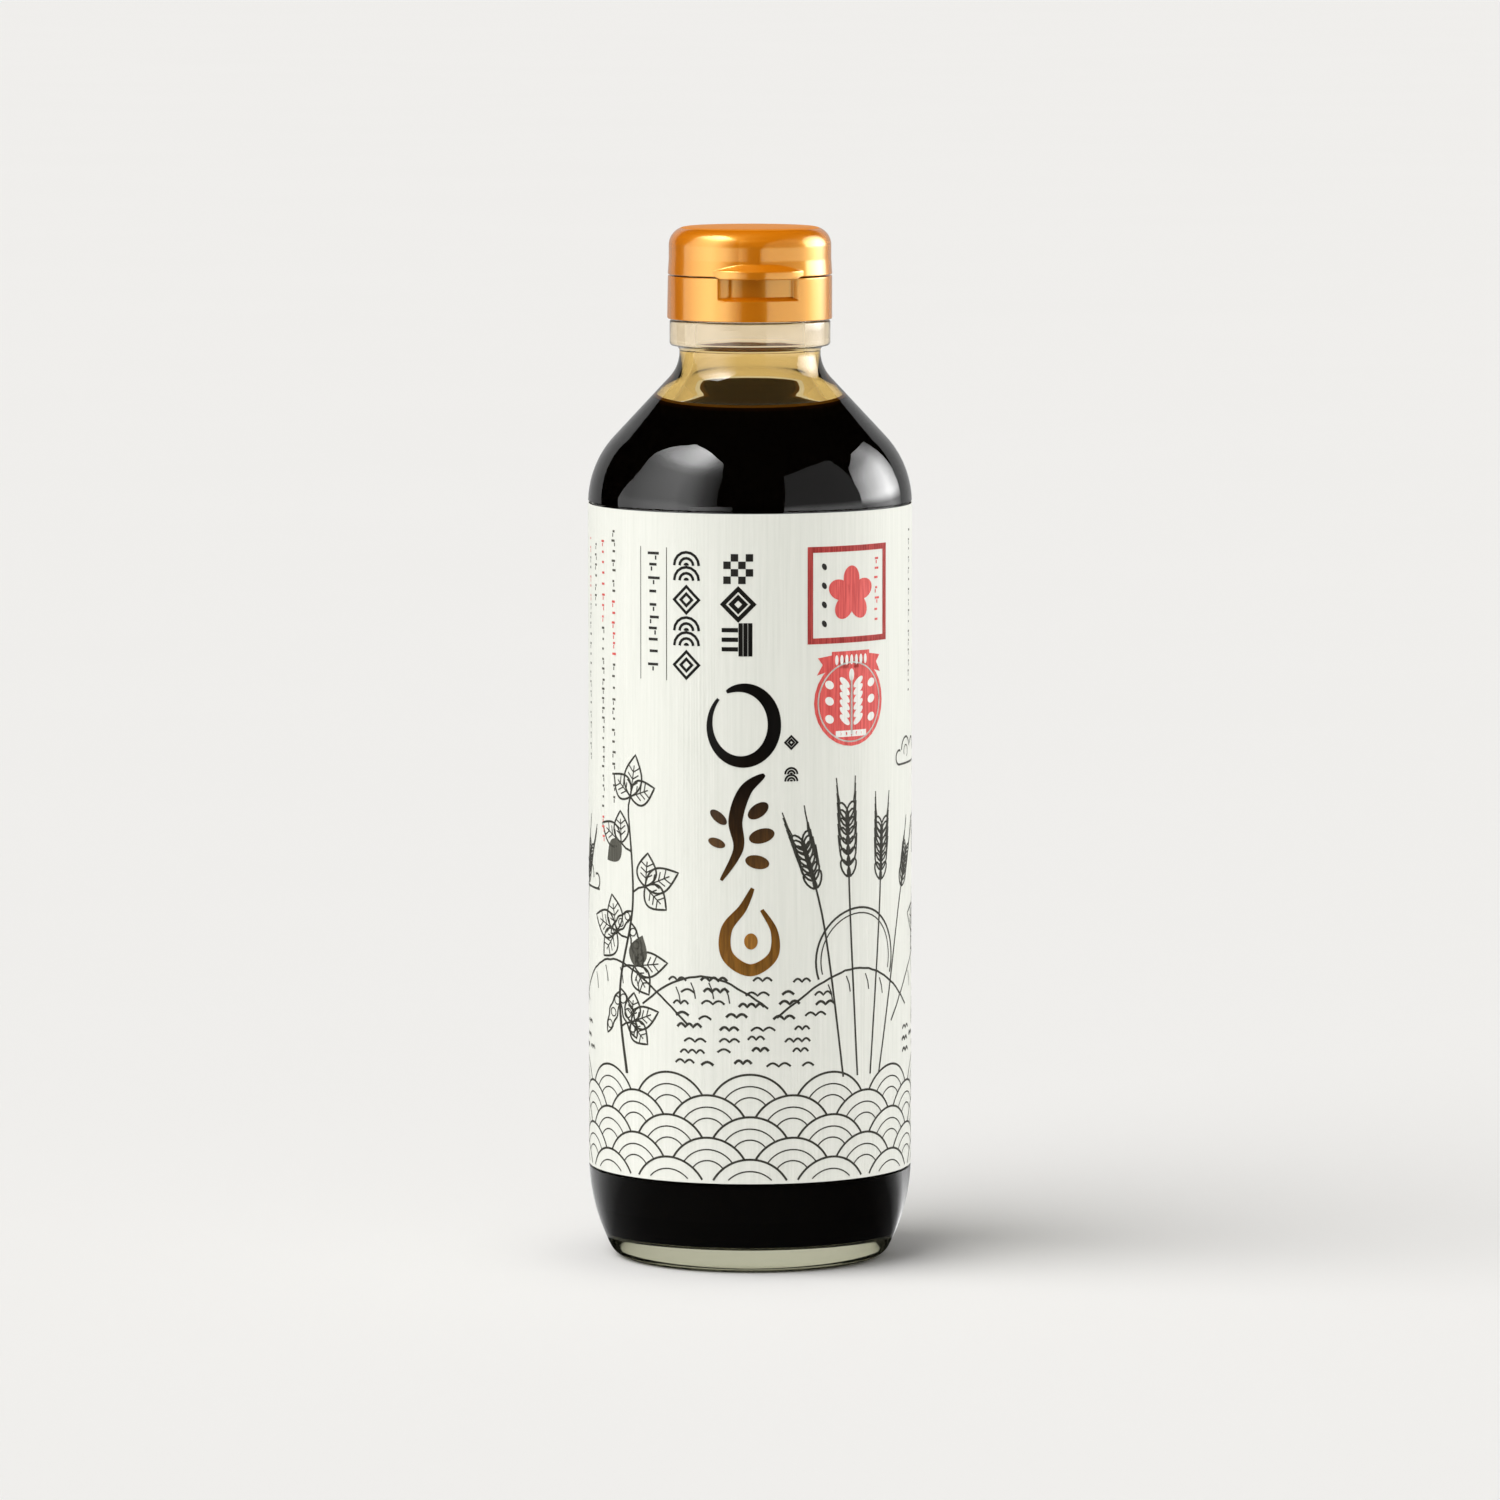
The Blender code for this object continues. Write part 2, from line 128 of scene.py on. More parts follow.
# Cap base
CAP_TURN = math.radians(6.5)
CAP_BOTTOM = 210.6
CAP_RADIUS_LOW = 18.47
CAP_RADIUS_HIGH = 18.32
CAP_EDGE = 0.4
PARTING_LEVEL = 220.4
PARTING_GAP = 0.3
DECK_TOP = 219.6
DECK_UNDERSIDE = 217.9
RIM_WIDTH = 2.6
SPOUT_HOLE_RADIUS = 3.4
SPOUT_RADIUS = 4.7
SPOUT_LIP_RADIUS = 5.5
SPOUT_TOP = 225.4

# Thumb pocket
POCKET_HALF_ANGLE = math.radians(29.5)
POCKET_BOTTOM = 215.3
POCKET_DEPTH = 1.6
POCKET_CORNER = 1.2
POCKET_LEFT_SLOPE = 0.65
POCKET_RIGHT_SLOPE = 4.0
POCKET_FLOOR_SLOPE = 2.4
POCKET_LIP_ROUND = 0.10
POCKET_FILLET = 0.22

# Flip lid and its tab
LID_TOP = 231.3
LID_TOP_RADIUS = 18.12
LID_FLARE_LEVEL = 224.0
LID_CORNER = 4.1
LID_CROWN = 0.2
LID_WALL = 1.2
LID_TOP_THICKNESS = 1.4
LID_RIM_ROUND = 0.15
SEAL_PIN_RADIUS = 3.0
SEAL_PIN_TIP_RADIUS = 2.5
SEAL_PIN_DEPTH = 1.1
TAB_HALF_WIDTH = 9.95
TAB_PROTRUSION = 1.7
TAB_HANG = 0.5
TAB_HANG_START = 0.1
TAB_HANG_REACH = 0.4
TAB_EDGE_HEIGHT = 1.25
TAB_EDGE_ROUND = 0.18
TAB_SLOPE_TOP = 223.5
TAB_FILLET = 0.12

# Keel: the low upright ridge on the lid above the tab
KEEL_HEIGHT = 0.35
KEEL_HALF_WIDTH = 4.6
KEEL_SPLIT_LEVEL = 226.8
KEEL_TOP_LEVEL = 229.6
KEEL_ROUND = 0.06

# Hinge lugs
HINGE_Y = 18.7
LUG_HALF_WIDTH = 5.8
LUG_HEIGHT = 3.0
LUG_SLOPE = 4.0
LUG_ROUND = 0.2

# Fineness of the cap: steps up its walls, and columns close to the edges of its forms
SKIRT_ROW_STEP = 0.22
RIM_ROW_STEP = 0.3
LID_ROW_STEP = 0.25
TAB_ROW_STEP = 0.09
LID_RIM_STEP = 0.2
CAP_COLUMNS = 240
EDGE_COLUMNS = 9
EDGE_COLUMN_STEP = math.radians(0.22)
ANGLE_DIGITS = 5

# The photograph's camera and frame
CAMERA_DISTANCE_M = 2.03504
CAMERA_HEIGHT_M = 0.31947
CAMERA_PITCH = math.radians(5.771)
CAMERA_LENS = 219.0
SENSOR_WIDTH = 36.0
FAR_CLIP_M = 100.0


def arc(centre, radius, start, end, steps=ARC_STEPS):
    """Points along an arc in the (radius, height) plane, both ends included."""
    angles = (start + (end - start) * i / steps for i in range(steps + 1))
    return [(centre[0] + radius * math.cos(a), centre[1] + radius * math.sin(a)) for a in angles]


def between(start, end, share):
    return (start[0] + (end[0] - start[0]) * share, start[1] + (end[1] - start[1]) * share)


def rows(start, end, step):
    """Points along a straight line, about a step apart, without its first point."""
    count = max(1, round(math.dist(start, end) / step))
    return [between(start, end, i / count) for i in range(1, count + 1)]


def eased(value, reach):
    """The value where it is above zero and 0 below, with the corner rounded over a reach each side."""
    if value <= -reach:
        return 0.0
    if value >= reach:
        return value
    return (value + reach) ** 2 / (4 * reach)


def smooth_max(a, b, reach):
    return b + eased(a - b, reach)


def turned_angle(angle):
    """An angle brought between minus and plus half a turn."""
    return (angle + math.pi) % TAU - math.pi


def even_angles(count=COLUMNS):
    return [TAU * i / count for i in range(count)]


def lathe(name, outline, angles=None, closed=False, skin=None, turn=0.0, ends=False):
    """A turned mesh. skin(angle, radius, height) gives a point's radius; ends shuts a part turn."""
    angles = angles or even_angles()
    shape = bmesh.new()
    rings = []
    for angle in angles:
        ring = []
        for radius, height in outline:
            reach = skin(angle, radius, height) if skin else radius
            place = (reach * math.sin(angle + turn), -reach * math.cos(angle + turn), height)
            ring.append(shape.verts.new([MM * c for c in place]))
        rings.append(ring)
    count = len(outline)
    steps = range(count if closed else count - 1)
    pairs = list(zip(rings, rings[1:]))
    if ends:
        shape.faces.new(rings[0])
        shape.faces.new(rings[-1][::-1])
    else:
        pairs.append((rings[-1], rings[0]))
    for one, other in pairs:
        for i in steps:
            j = (i + 1) % count
            shape.faces.new((one[i], one[j], other[j], other[i]))
    bmesh.ops.remove_doubles(shape, verts=shape.verts, dist=MERGE_DISTANCE_M)
    bmesh.ops.dissolve_degenerate(shape, edges=shape.edges, dist=MERGE_DISTANCE_M)
    bmesh.ops.recalc_face_normals(shape, faces=shape.faces)
    return finished(name, shape)


def added(name, data):
    """A new object in the scene."""
    made = bpy.data.objects.new(name, data)
    bpy.context.scene.collection.objects.link(made)
    return made


def finished(name, shape):
    """Turns a bmesh into a smooth-shaded object in the scene."""
    mesh = bpy.data.meshes.new(name)
    shape.to_mesh(mesh)
    shape.free()
    mesh.shade_smooth()
    mesh.set_sharp_from_angle(angle=SHARP_ANGLE)
    return added(name, mesh)


def flank_angle(low_centre, low_radius, high_centre, high_radius):
    """Direction of the normal of the straight flank between a convex and a concave arc."""
    across = high_centre[0] - low_centre[0]
    up = high_centre[1] - low_centre[1]
    return math.atan2(up, across) - math.acos((low_radius + high_radius) / math.hypot(across, up))


def shoulder(body_radius, level, low_radius, neck_radius, neck_level, high_radius, start=None):
    """The convex shoulder, its straight flank and the concave neck, upwards from a start height."""
    low_centre = (body_radius - low_radius, level)
    high_centre = (neck_radius + high_radius, neck_level)
    normal = flank_angle(low_centre, low_radius, high_centre, high_radius)
    first = math.asin((start - level) / low_radius) if start else 0.0
    convex = arc(low_centre, low_radius, first, normal, 2 * ARC_STEPS)
    concave = arc(high_centre, high_radius, math.pi + normal, math.pi)
    return convex + rows(convex[-1], concave[0], 1.0)[:-1] + concave


def heel(body_radius, arc_radius, corner_radius, floor, end=HEEL_LEVEL):
    """The rounded foot and heel, from the floor up to an end height."""
    centre = (body_radius - arc_radius, HEEL_LEVEL)
    rise = floor + corner_radius - centre[1]
    across = math.sqrt((arc_radius - corner_radius) ** 2 - rise**2)
    meeting = math.atan2(rise, across)
    foot = arc((centre[0] + across, floor + corner_radius), corner_radius, -QUARTER, meeting)
    return foot + arc(centre, arc_radius, meeting, math.asin((end - HEEL_LEVEL) / arc_radius))[1:]


def cavity_outline(inset=0.0):
    """The glass's inner wall, from the middle of its floor up to the bore, moved in by inset."""
    wall_radius = BODY_RADIUS - BODY_WALL - inset
    floor = BASE_THICKNESS + inset
    inner_heel = heel(wall_radius, HEEL_ARC_RADIUS - BODY_WALL - inset, INNER_CORNER_RADIUS - inset, floor)
    inner_shoulder = shoulder(
        wall_radius, INNER_SHOULDER_LEVEL, INNER_SHOULDER_ARC - inset,
        BORE_RADIUS - inset, BORE_BOTTOM, BORE_ARC_RADIUS + inset,
    )
    middle = (0.0, floor + PUNT_HEIGHT)
    return [middle] + inner_heel + inner_shoulder


def radius_at(outline, height):
    """The radius where an outline that runs upwards passes a height."""
    for (r0, z0), (r1, z1) in zip(outline, outline[1:]):
        if z0 <= height <= z1:
            return r0 + (r1 - r0) * (height - z0) / (z1 - z0)
    raise ValueError("the outline doesn't reach that height")


def collar_and_finish():
    """The neck, the collar and the finish inside the cap, from the neck up to the mouth."""
    fillet = arc((NECK_RADIUS + NECK_FILLET, COLLAR_BOTTOM - NECK_FILLET), NECK_FILLET, math.pi, QUARTER, 8)
    low_edge = arc((COLLAR_RADIUS - COLLAR_EDGE, COLLAR_BOTTOM + COLLAR_EDGE), COLLAR_EDGE, -QUARTER, 0.0, 8)
    top_round = COLLAR_EDGE / 2
    high_edge = arc((COLLAR_RADIUS - top_round, COLLAR_TOP - top_round), top_round, 0.0, QUARTER, 6)
    lip = arc((FINISH_RADIUS - LIP_EDGE, MOUTH_TOP - LIP_EDGE), LIP_EDGE, 0.0, QUARTER, 8)
    return fillet + low_edge + high_edge + [(FINISH_RADIUS, COLLAR_TOP)] + lip


def glass_outline():
    """The whole wall of the bottle: up the inside, over the mouth and down the outside."""
    mouth = arc((BORE_RADIUS + LIP_EDGE, MOUTH_TOP - LIP_EDGE), LIP_EDGE, math.pi, QUARTER, 8)
    recess = BODY_RADIUS - CONTACT_GAP - LABEL_THICKNESS
    outside = heel(BODY_RADIUS, HEEL_ARC_RADIUS, FOOT_ARC_RADIUS, 0.0, end=RECESS_BOTTOM - RECESS_RAMP)
    outside += [(recess, RECESS_BOTTOM), (recess, RECESS_TOP)]
    outside += shoulder(
        BODY_RADIUS, SHOULDER_LEVEL, SHOULDER_ARC_RADIUS,
        NECK_RADIUS, NECK_LEVEL, NECK_ARC_RADIUS, start=RECESS_TOP + RECESS_RAMP,
    )
    outside += collar_and_finish()
    punt_radius = (STAND_RING_INNER**2 + PUNT_HEIGHT**2) / (2 * PUNT_HEIGHT)
    punt_edge = math.asin(STAND_RING_INNER / punt_radius)
    punt_centre = (0.0, PUNT_HEIGHT - punt_radius)
    base = arc(punt_centre, punt_radius, QUARTER - punt_edge, QUARTER)
    return cavity_outline() + mouth + outside[::-1] + base


def sauce_outline():
    """The filling, from the middle of its surface down its side to the middle of its foot."""
    wall = cavity_outline(-SAUCE_INTO_WALL)
    rim_height = SAUCE_LEVEL + MENISCUS_RISE
    rim_radius = radius_at(wall, rim_height)
    surface = [(0.0, SAUCE_LEVEL), (rim_radius - 2 * MENISCUS_WIDTH, SAUCE_LEVEL)]
    for i in range(MENISCUS_STEPS + 1):
        share = i / MENISCUS_STEPS
        rise = MENISCUS_RISE * share**MENISCUS_BEND
        surface.append((rim_radius - MENISCUS_WIDTH * (1 - share), SAUCE_LEVEL + rise))
    return surface + [point for point in wall if point[1] < rim_height][::-1]


def pocket_depth(angle, height):
    """Depth of the thumb pocket at a place on the skirt, with rounded edges."""
    slope = POCKET_LEFT_SLOPE if angle < 0.0 else POCKET_RIGHT_SLOPE
    across = slope * CAP_RADIUS_HIGH * (POCKET_HALF_ANGLE - abs(angle)) - POCKET_CORNER
    above = POCKET_FLOOR_SLOPE * (height - POCKET_BOTTOM) - POCKET_CORNER
    if across < 0.0 and above < 0.0:
        inside = POCKET_CORNER - math.hypot(across, above)
    else:
        inside = POCKET_CORNER + min(across, above)
    return POCKET_DEPTH - eased(POCKET_DEPTH - eased(inside, POCKET_LIP_ROUND), POCKET_FILLET)


def lug_rise(angle, radius, from_parting):
    """How far a hinge lug stands proud of the cap at a place, given its distance from the parting line."""
    away = turned_angle(angle - math.pi)
    if abs(away) > QUARTER / 2:
        return 0.0
    proud = HINGE_Y / math.cos(away) - radius
    side = LUG_SLOPE * (LUG_HALF_WIDTH - HINGE_Y * abs(math.tan(away)))
    far = LUG_SLOPE * (LUG_HEIGHT - from_parting)
    return eased(min(proud, side, far), LUG_ROUND)


def base_skin(angle, radius, height):
    """The cap base's outer surface: the thumb pocket in front and the lug at the back."""
    if radius < CAP_RADIUS_HIGH - RIM_WIDTH / 2 and height < PARTING_LEVEL - PARTING_GAP:
        return radius
    near = turned_angle(angle)
    floor = CAP_RADIUS_HIGH - pocket_depth(near, height)
    if radius > CAP_RADIUS_HIGH - RIM_WIDTH / 2:
        radius += lug_rise(angle, radius, PARTING_LEVEL - height)
    return min(radius, floor) if abs(near) < QUARTER else radius


def cap_base_outline():
    """A closed loop: down the skirt, up the bore that holds the neck and round the spout."""
    bore = FINISH_RADIUS + CONTACT_GAP
    rim = PARTING_LEVEL - PARTING_GAP / 2
    top_edge = CAP_EDGE / 2
    rim_inner = CAP_RADIUS_HIGH - RIM_WIDTH
    outside = arc((CAP_RADIUS_HIGH - top_edge, rim - top_edge), top_edge, QUARTER, 0.0, 5)
    foot = arc((CAP_RADIUS_LOW - CAP_EDGE, CAP_BOTTOM + CAP_EDGE), CAP_EDGE, 0.0, -QUARTER, 6)
    outside += rows(outside[-1], foot[0], SKIRT_ROW_STEP)[:-1] + foot
    inside = [(bore, CAP_BOTTOM), (bore, DECK_UNDERSIDE), (SPOUT_HOLE_RADIUS, DECK_UNDERSIDE)]
    drop = SPOUT_LIP_RADIUS - SPOUT_RADIUS
    spout = arc((SPOUT_HOLE_RADIUS + drop / 2, SPOUT_TOP - drop / 2), drop / 2, math.pi, QUARTER, 5)
    spout += arc((SPOUT_LIP_RADIUS - drop / 2, SPOUT_TOP - drop / 2), drop / 2, QUARTER, 0.0, 5)
    spout += [(SPOUT_RADIUS, SPOUT_TOP - 2 * drop)]
    spout += arc((SPOUT_RADIUS + drop, DECK_TOP + drop), drop, math.pi, math.pi + QUARTER, 5)
    deck = [(rim_inner, DECK_TOP), (rim_inner, rim)]
    return outside + inside + spout + deck + rows((rim_inner, rim), outside[0], RIM_ROW_STEP)[:-1]


def tab_radii(height):
    """Plan radii of the tab's round edge, in full and at a height: upright below, with a sloping top."""
    reach = CAP_RADIUS_HIGH + TAB_PROTRUSION
    bulge = reach - math.sqrt(CAP_RADIUS_HIGH**2 - TAB_HALF_WIDTH**2)
    full = (TAB_HALF_WIDTH**2 + bulge**2) / (2 * bulge)
    rim = PARTING_LEVEL + PARTING_GAP / 2
    over = eased(height - rim - TAB_EDGE_HEIGHT, TAB_EDGE_ROUND)
    under = eased(rim + TAB_EDGE_ROUND - height, TAB_EDGE_ROUND)
    slope = TAB_PROTRUSION / (TAB_SLOPE_TOP - rim - TAB_EDGE_HEIGHT)
    return full, full - slope * over - under**2 / 2


def lid_skin(angle, radius, height):
    """The lid's outer surface: the tab and its keel in front and the lug at the back."""
    if radius < CAP_RADIUS_HIGH - LID_WALL / 2:
        return radius
    inset = CAP_RADIUS_HIGH - radius
    near = turned_angle(angle)
    radius += lug_rise(angle, radius, height - PARTING_LEVEL)
    radius += keel_rise(near, height)
    full, tab = tab_radii(height)
    centre = CAP_RADIUS_HIGH + TAB_PROTRUSION - full
    off_axis = centre * math.sin(near)
    if abs(near) > QUARTER or abs(off_axis) >= tab or height > TAB_SLOPE_TOP + 1.0:
        return radius
    edge = centre * math.cos(near) + math.sqrt(tab**2 - off_axis**2)
    if height < PARTING_LEVEL + PARTING_GAP:
        edge -= max(inset, 0.0)
    return smooth_max(edge, radius, TAB_FILLET)


def keel_rise(angle, height):
    """Height of the keel, whose crest splits into two arms below the lid's top corner."""
    flank = 1.0 - abs(angle) * CAP_RADIUS_HIGH / KEEL_HALF_WIDTH
    top = (KEEL_TOP_LEVEL - height) / (KEEL_TOP_LEVEL - KEEL_SPLIT_LEVEL)
    return KEEL_HEIGHT * eased(min(flank, top), KEEL_ROUND)


def lid_outline():
    """The lid, from the middle of its top down its outside and back up to the seal pin's tip."""
    rim = PARTING_LEVEL + PARTING_GAP / 2
    edge = LID_TOP - LID_CROWN
    flat = LID_TOP_RADIUS - LID_CORNER
    crown_radius = (flat**2 + LID_CROWN**2) / (2 * LID_CROWN)
    crown_edge = QUARTER - math.asin(flat / crown_radius)
    crown = arc((0.0, LID_TOP - crown_radius), crown_radius, QUARTER, crown_edge)
    corner = arc((flat, edge - LID_CORNER), LID_CORNER, QUARTER, 0.0, 24)
    side = rows(corner[-1], (LID_TOP_RADIUS, LID_FLARE_LEVEL), LID_ROW_STEP)
    foot = arc((CAP_RADIUS_HIGH - LID_RIM_ROUND, rim + LID_RIM_ROUND), LID_RIM_ROUND, 0.0, -QUARTER, 4)
    side += rows(side[-1], foot[0], TAB_ROW_STEP)[:-1] + foot
    inner = CAP_RADIUS_HIGH - LID_WALL
    ceiling = LID_TOP - LID_TOP_THICKNESS
    inner_round = LID_CORNER / 2
    hollow = rows(foot[-1], (inner, rim), LID_RIM_STEP)
    hollow += arc((inner - inner_round, ceiling - inner_round), inner_round, 0.0, QUARTER, 8)
    pin = [
        (SEAL_PIN_RADIUS, ceiling),
        (SEAL_PIN_RADIUS, SPOUT_TOP),
        (SEAL_PIN_TIP_RADIUS, SPOUT_TOP - SEAL_PIN_DEPTH),
        (0.0, SPOUT_TOP - SEAL_PIN_DEPTH),
    ]
    return crown + corner + side + hollow + pin


def cap_angles():
    """Columns round the cap, denser where the pocket, the tab, the keel and the lugs have their edges."""
    tab_end = math.asin(TAB_HALF_WIDTH / CAP_RADIUS_HIGH)
    keel_end = KEEL_HALF_WIDTH / CAP_RADIUS_HIGH
    lug_end = math.atan(LUG_HALF_WIDTH / HINGE_Y)
    edges = [0.0]
    for edge in (POCKET_HALF_ANGLE, tab_end, keel_end):
        edges += [edge, -edge]
    edges += [math.pi - lug_end, lug_end - math.pi]
    near = range(-EDGE_COLUMNS, EDGE_COLUMNS + 1)
    angles = {round(a, ANGLE_DIGITS) for a in even_angles(CAP_COLUMNS)}
    for edge in edges:
        angles |= {round((edge + i * EDGE_COLUMN_STEP) % TAU, ANGLE_DIGITS) for i in near}
    kept = []
    for angle in sorted(angles):
        if not kept or angle - kept[-1] > EDGE_COLUMN_STEP / 3:
            kept.append(angle)
    return kept


class Nodes:
    """A node tree in the making, with short ways to add and link its nodes."""

    def __init__(self, owner):
        owner.use_nodes = True
        self.tree = owner.node_tree
        self.link = self.tree.links.new

    def add(self, kind, **values):
        """A new node with its values set, on the node itself or on its sockets."""
        node = self.tree.nodes.new(kind)
        for key, value in values.items():
            if hasattr(node, key):
                setattr(node, key, value)
            else:
                node.inputs[key.replace("_", " ")].default_value = value
        return node

    def place(self, space="Object"):
        return self.add("ShaderNodeTexCoord").outputs[space]

    def axes(self, space="Object"):
        """The three coordinates of a point on its piece, in metres."""
        split = self.add("ShaderNodeSeparateXYZ")
        self.link(self.place(space), split.inputs["Vector"])
        return [split.outputs[axis] for axis in "XYZ"]

    def share(self, value, low, high):
        """Where a value lies between two limits, from 0 to 1."""
        made = self.add("ShaderNodeMapRange", From_Min=low, From_Max=high)
        self.link(value, made.inputs["Value"])
        return made.outputs["Result"]

    def colour(self, share, stops):
        """A colour that runs through its stops as the share grows."""
        ramp = self.add("ShaderNodeValToRGB")
        elements = ramp.color_ramp.elements
        while len(elements) < len(stops):
            elements.new(0.5)
        for element, (position, colour) in zip(elements, stops):
            element.position = position
            element.color = (*colour, 1.0)
        self.link(share, ramp.inputs["Fac"])
        return ramp.outputs["Color"]

    def maths(self, operation, first, second):
        node = self.add("ShaderNodeMath", operation=operation)
        for socket, value in zip(node.inputs, (first, second)):
            if isinstance(value, (int, float)):
                socket.default_value = value
            else:
                self.link(value, socket)
        return node.outputs["Value"]


class Finish(Nodes):
    """A material in the making: constants on its shader, and nodes that vary it over the piece."""

    def __init__(self, name, **values):
        self.material = bpy.data.materials.new(name)
        super().__init__(self.material)
        self.shader = self.tree.nodes["Principled BSDF"]
        for key, value in values.items():
            self.shader.inputs[key.replace("_", " ")].default_value = value

    def noise(self, scale, stretch=(1.0, 1.0, 1.0), detail=2.0, roughness=0.5):
        """Noise of a fineness per metre, drawn together along each axis by stretch."""
        spread = self.add("ShaderNodeMapping", Scale=stretch)
        self.link(self.place(), spread.inputs["Vector"])
        made = self.add("ShaderNodeTexNoise", Scale=scale, Detail=detail, Roughness=roughness)
        self.link(spread.outputs["Vector"], made.inputs["Vector"])
        return made.outputs["Fac"]

    def fibres(self, across, along):
        """Noise drawn out upwards, like the fibres and ribs of the paper."""
        return self.noise(1.0, (across, across, along), 4.0, 0.6)

    def height(self, low, high):
        """Where a point lies between two levels, from 0 to 1."""
        return self.share(self.axes()[2], low * MM, high * MM)

    def paint(self, colour):
        self.link(colour, self.shader.inputs["Base Color"])

    def bump(self, height, strength, depth):
        node = self.add("ShaderNodeBump", Strength=strength, Distance=depth * MM)
        self.link(height, node.inputs["Height"])
        self.link(node.outputs["Normal"], self.shader.inputs["Normal"])


# Colour stops of the finishes: a share from 0 to 1, and the colour there
# Sauce against the wall: its own near-black colour, then a painted brown-amber glow of light near the surface
SAUCE_BULK_AND_PAINTED_GLOW = (
    (0.0, (0.0030, 0.0022, 0.0016)),
    (0.60, (0.0045, 0.003, 0.0016)),
    (0.86, (0.022, 0.007, 0.001)),
    (0.95, (0.07, 0.020, 0.0015)),
    (1.0, (0.45, 0.18, 0.03)),
)
# Sauce top: near black, with a painted golden rim of light next to the wall
SAUCE_SURFACE_AND_PAINTED_RIM_GLOW = (
    (0.0, (0.024, 0.007, 0.001)),
    (0.55, (0.015, 0.004, 0.001)),
    (0.90, (0.018, 0.005, 0.001)),
    (0.97, (0.03, 0.012, 0.002)),
    (1.0, (0.20, 0.085, 0.012)),
)
SAUCE_UNDERSIDE = ((0.3, (0.78, 0.78, 0.70)), (0.7, (0.86, 0.86, 0.78)))
PAPER = ((0.30, (0.681, 0.692, 0.630)), (0.70, (0.744, 0.749, 0.688)))
FOIL = (
    (0.0, (0.56, 0.25, 0.035)),
    (0.22, (0.42, 0.175, 0.020)),
    (0.50, (0.13, 0.055, 0.008)),
    (0.78, (0.030, 0.013, 0.003)),
    (1.0, (0.008, 0.005, 0.003)),
)
FOIL_STREAKS = ((0.35, (0.55, 0.55, 0.55)), (0.65, (1.0, 1.0, 1.0)))
FOIL_LEVELS = (68.0, 118.0)
PLASTIC = ((0.35, (0.590, 0.147, 0.0006)), (0.65, (0.645, 0.177, 0.0012)))
STAGE_PAPER = ((0.3, (0.885, 0.875, 0.858)), (0.7, (0.890, 0.880, 0.863)))

# The glass's zones: name, tint, strength of the mould's waves, and cloudiness of the face
GLASS_ZONES = (
    ("clear_glass", (0.95, 0.93, 0.84), 0.25, 0.0),
    # Neck tint: golden partly from a sauce film on the glass, partly painted amber reflection of the sauce
    ("neck_glass", (0.86, 0.585, 0.19), 0.12, 0.0),
    ("filmed_glass", (0.99, 0.97, 0.93), 0.12, 0.02),
    # Base tint: a slight green of thick glass, darkened further as painted shade of the foot
    ("base_glass_tint_and_painted_shade", (0.59, 0.585, 0.45), 0.25, 0.0),
    # Collar tint: painted amber reflection of the sauce below
    ("collar_glass", (0.90, 0.75, 0.52), 0.25, 0.0),
)
CLEAR, NECK, FILMED, BASE, COLLAR = range(len(GLASS_ZONES))

# Finishes of the cap: name, roughness and coat, on its sides and on the lid's top
PLASTICS = (("cap_plastic", 0.24, 0.75), ("cap_plastic_top", 0.45, 0.1))


def glass_material(name, tint, waviness, film):
    """Moulded bottle glass: clear, with the slow waves that a mould leaves. film clouds its face."""
    made = Finish(name, Base_Color=(*tint, 1.0), Roughness=0.0, IOR=1.52, Transmission_Weight=1.0 - film)
    made.bump(made.noise(140.0, detail=1.0, roughness=0.4), waviness, 0.25)
    return made.material


def sauce_material():
    """Soy sauce against the wall: near black in bulk, brightening near the surface to a painted brown glow
    that stands in for light through its thin edge.
    """
    made = Finish("soy_sauce_bulk_painted_glow", Roughness=0.06, IOR=1.36, Specular_IOR_Level=0.0)
    share = made.height(SAUCE_LEVEL - SAUCE_PAINTED_GLOW_DEPTH, SAUCE_LEVEL + MENISCUS_RISE)
    made.paint(made.colour(share, SAUCE_BULK_AND_PAINTED_GLOW))
    return made.material


def sauce_surface_material():
    """The sauce's top: nearly black in the middle, with a painted golden glow near the wall that stands in
    for light through the thin sauce there.
    """
    made = Finish("soy_sauce_surface_painted_rim_glow", Roughness=0.05, IOR=1.36, Specular_IOR_Level=0.0)
    flat = made.add("ShaderNodeMapping", Scale=(1 / MM, 1 / MM, 0.0))
    made.link(made.place(), flat.inputs["Vector"])
    across = made.add("ShaderNodeVectorMath", operation="LENGTH")
    made.link(flat.outputs["Vector"], across.inputs[0])
    rim_radius = radius_at(cavity_outline(), SAUCE_LEVEL + MENISCUS_RISE)
    made.paint(made.colour(made.share(across.outputs["Value"], 0.0, rim_radius), SAUCE_SURFACE_AND_PAINTED_RIM_GLOW))
    return made.material


def sauce_underside_material():
    """The sauce's underside: through the base glass it is only seen at low angles, where it is a mirror."""
    made = Finish("soy_sauce_underside", Roughness=0.02, Metallic=0.85)
    made.paint(made.colour(made.noise(300.0), SAUCE_UNDERSIDE))
    return made.material


def paper_material():
    """Off-white paper with upright fibres."""
    made = Finish("label_paper", Roughness=0.55, Specular_IOR_Level=0.35)
    fibres = made.fibres(1400.0, 40.0)
    made.paint(made.colour(fibres, PAPER))
    made.bump(fibres, 0.5, 0.03)
    return made.material


def ink_material(name, dark, light):
    """Ink that lets the ribs of the paper show as lighter upright streaks."""
    made = Finish(name, Roughness=0.5, Specular_IOR_Level=0.3)
    fibres = made.fibres(2400.0, 90.0)
    made.paint(made.colour(fibres, ((0.40, dark), (0.68, light))))
    made.bump(fibres, 0.3, 0.02)
    return made.material


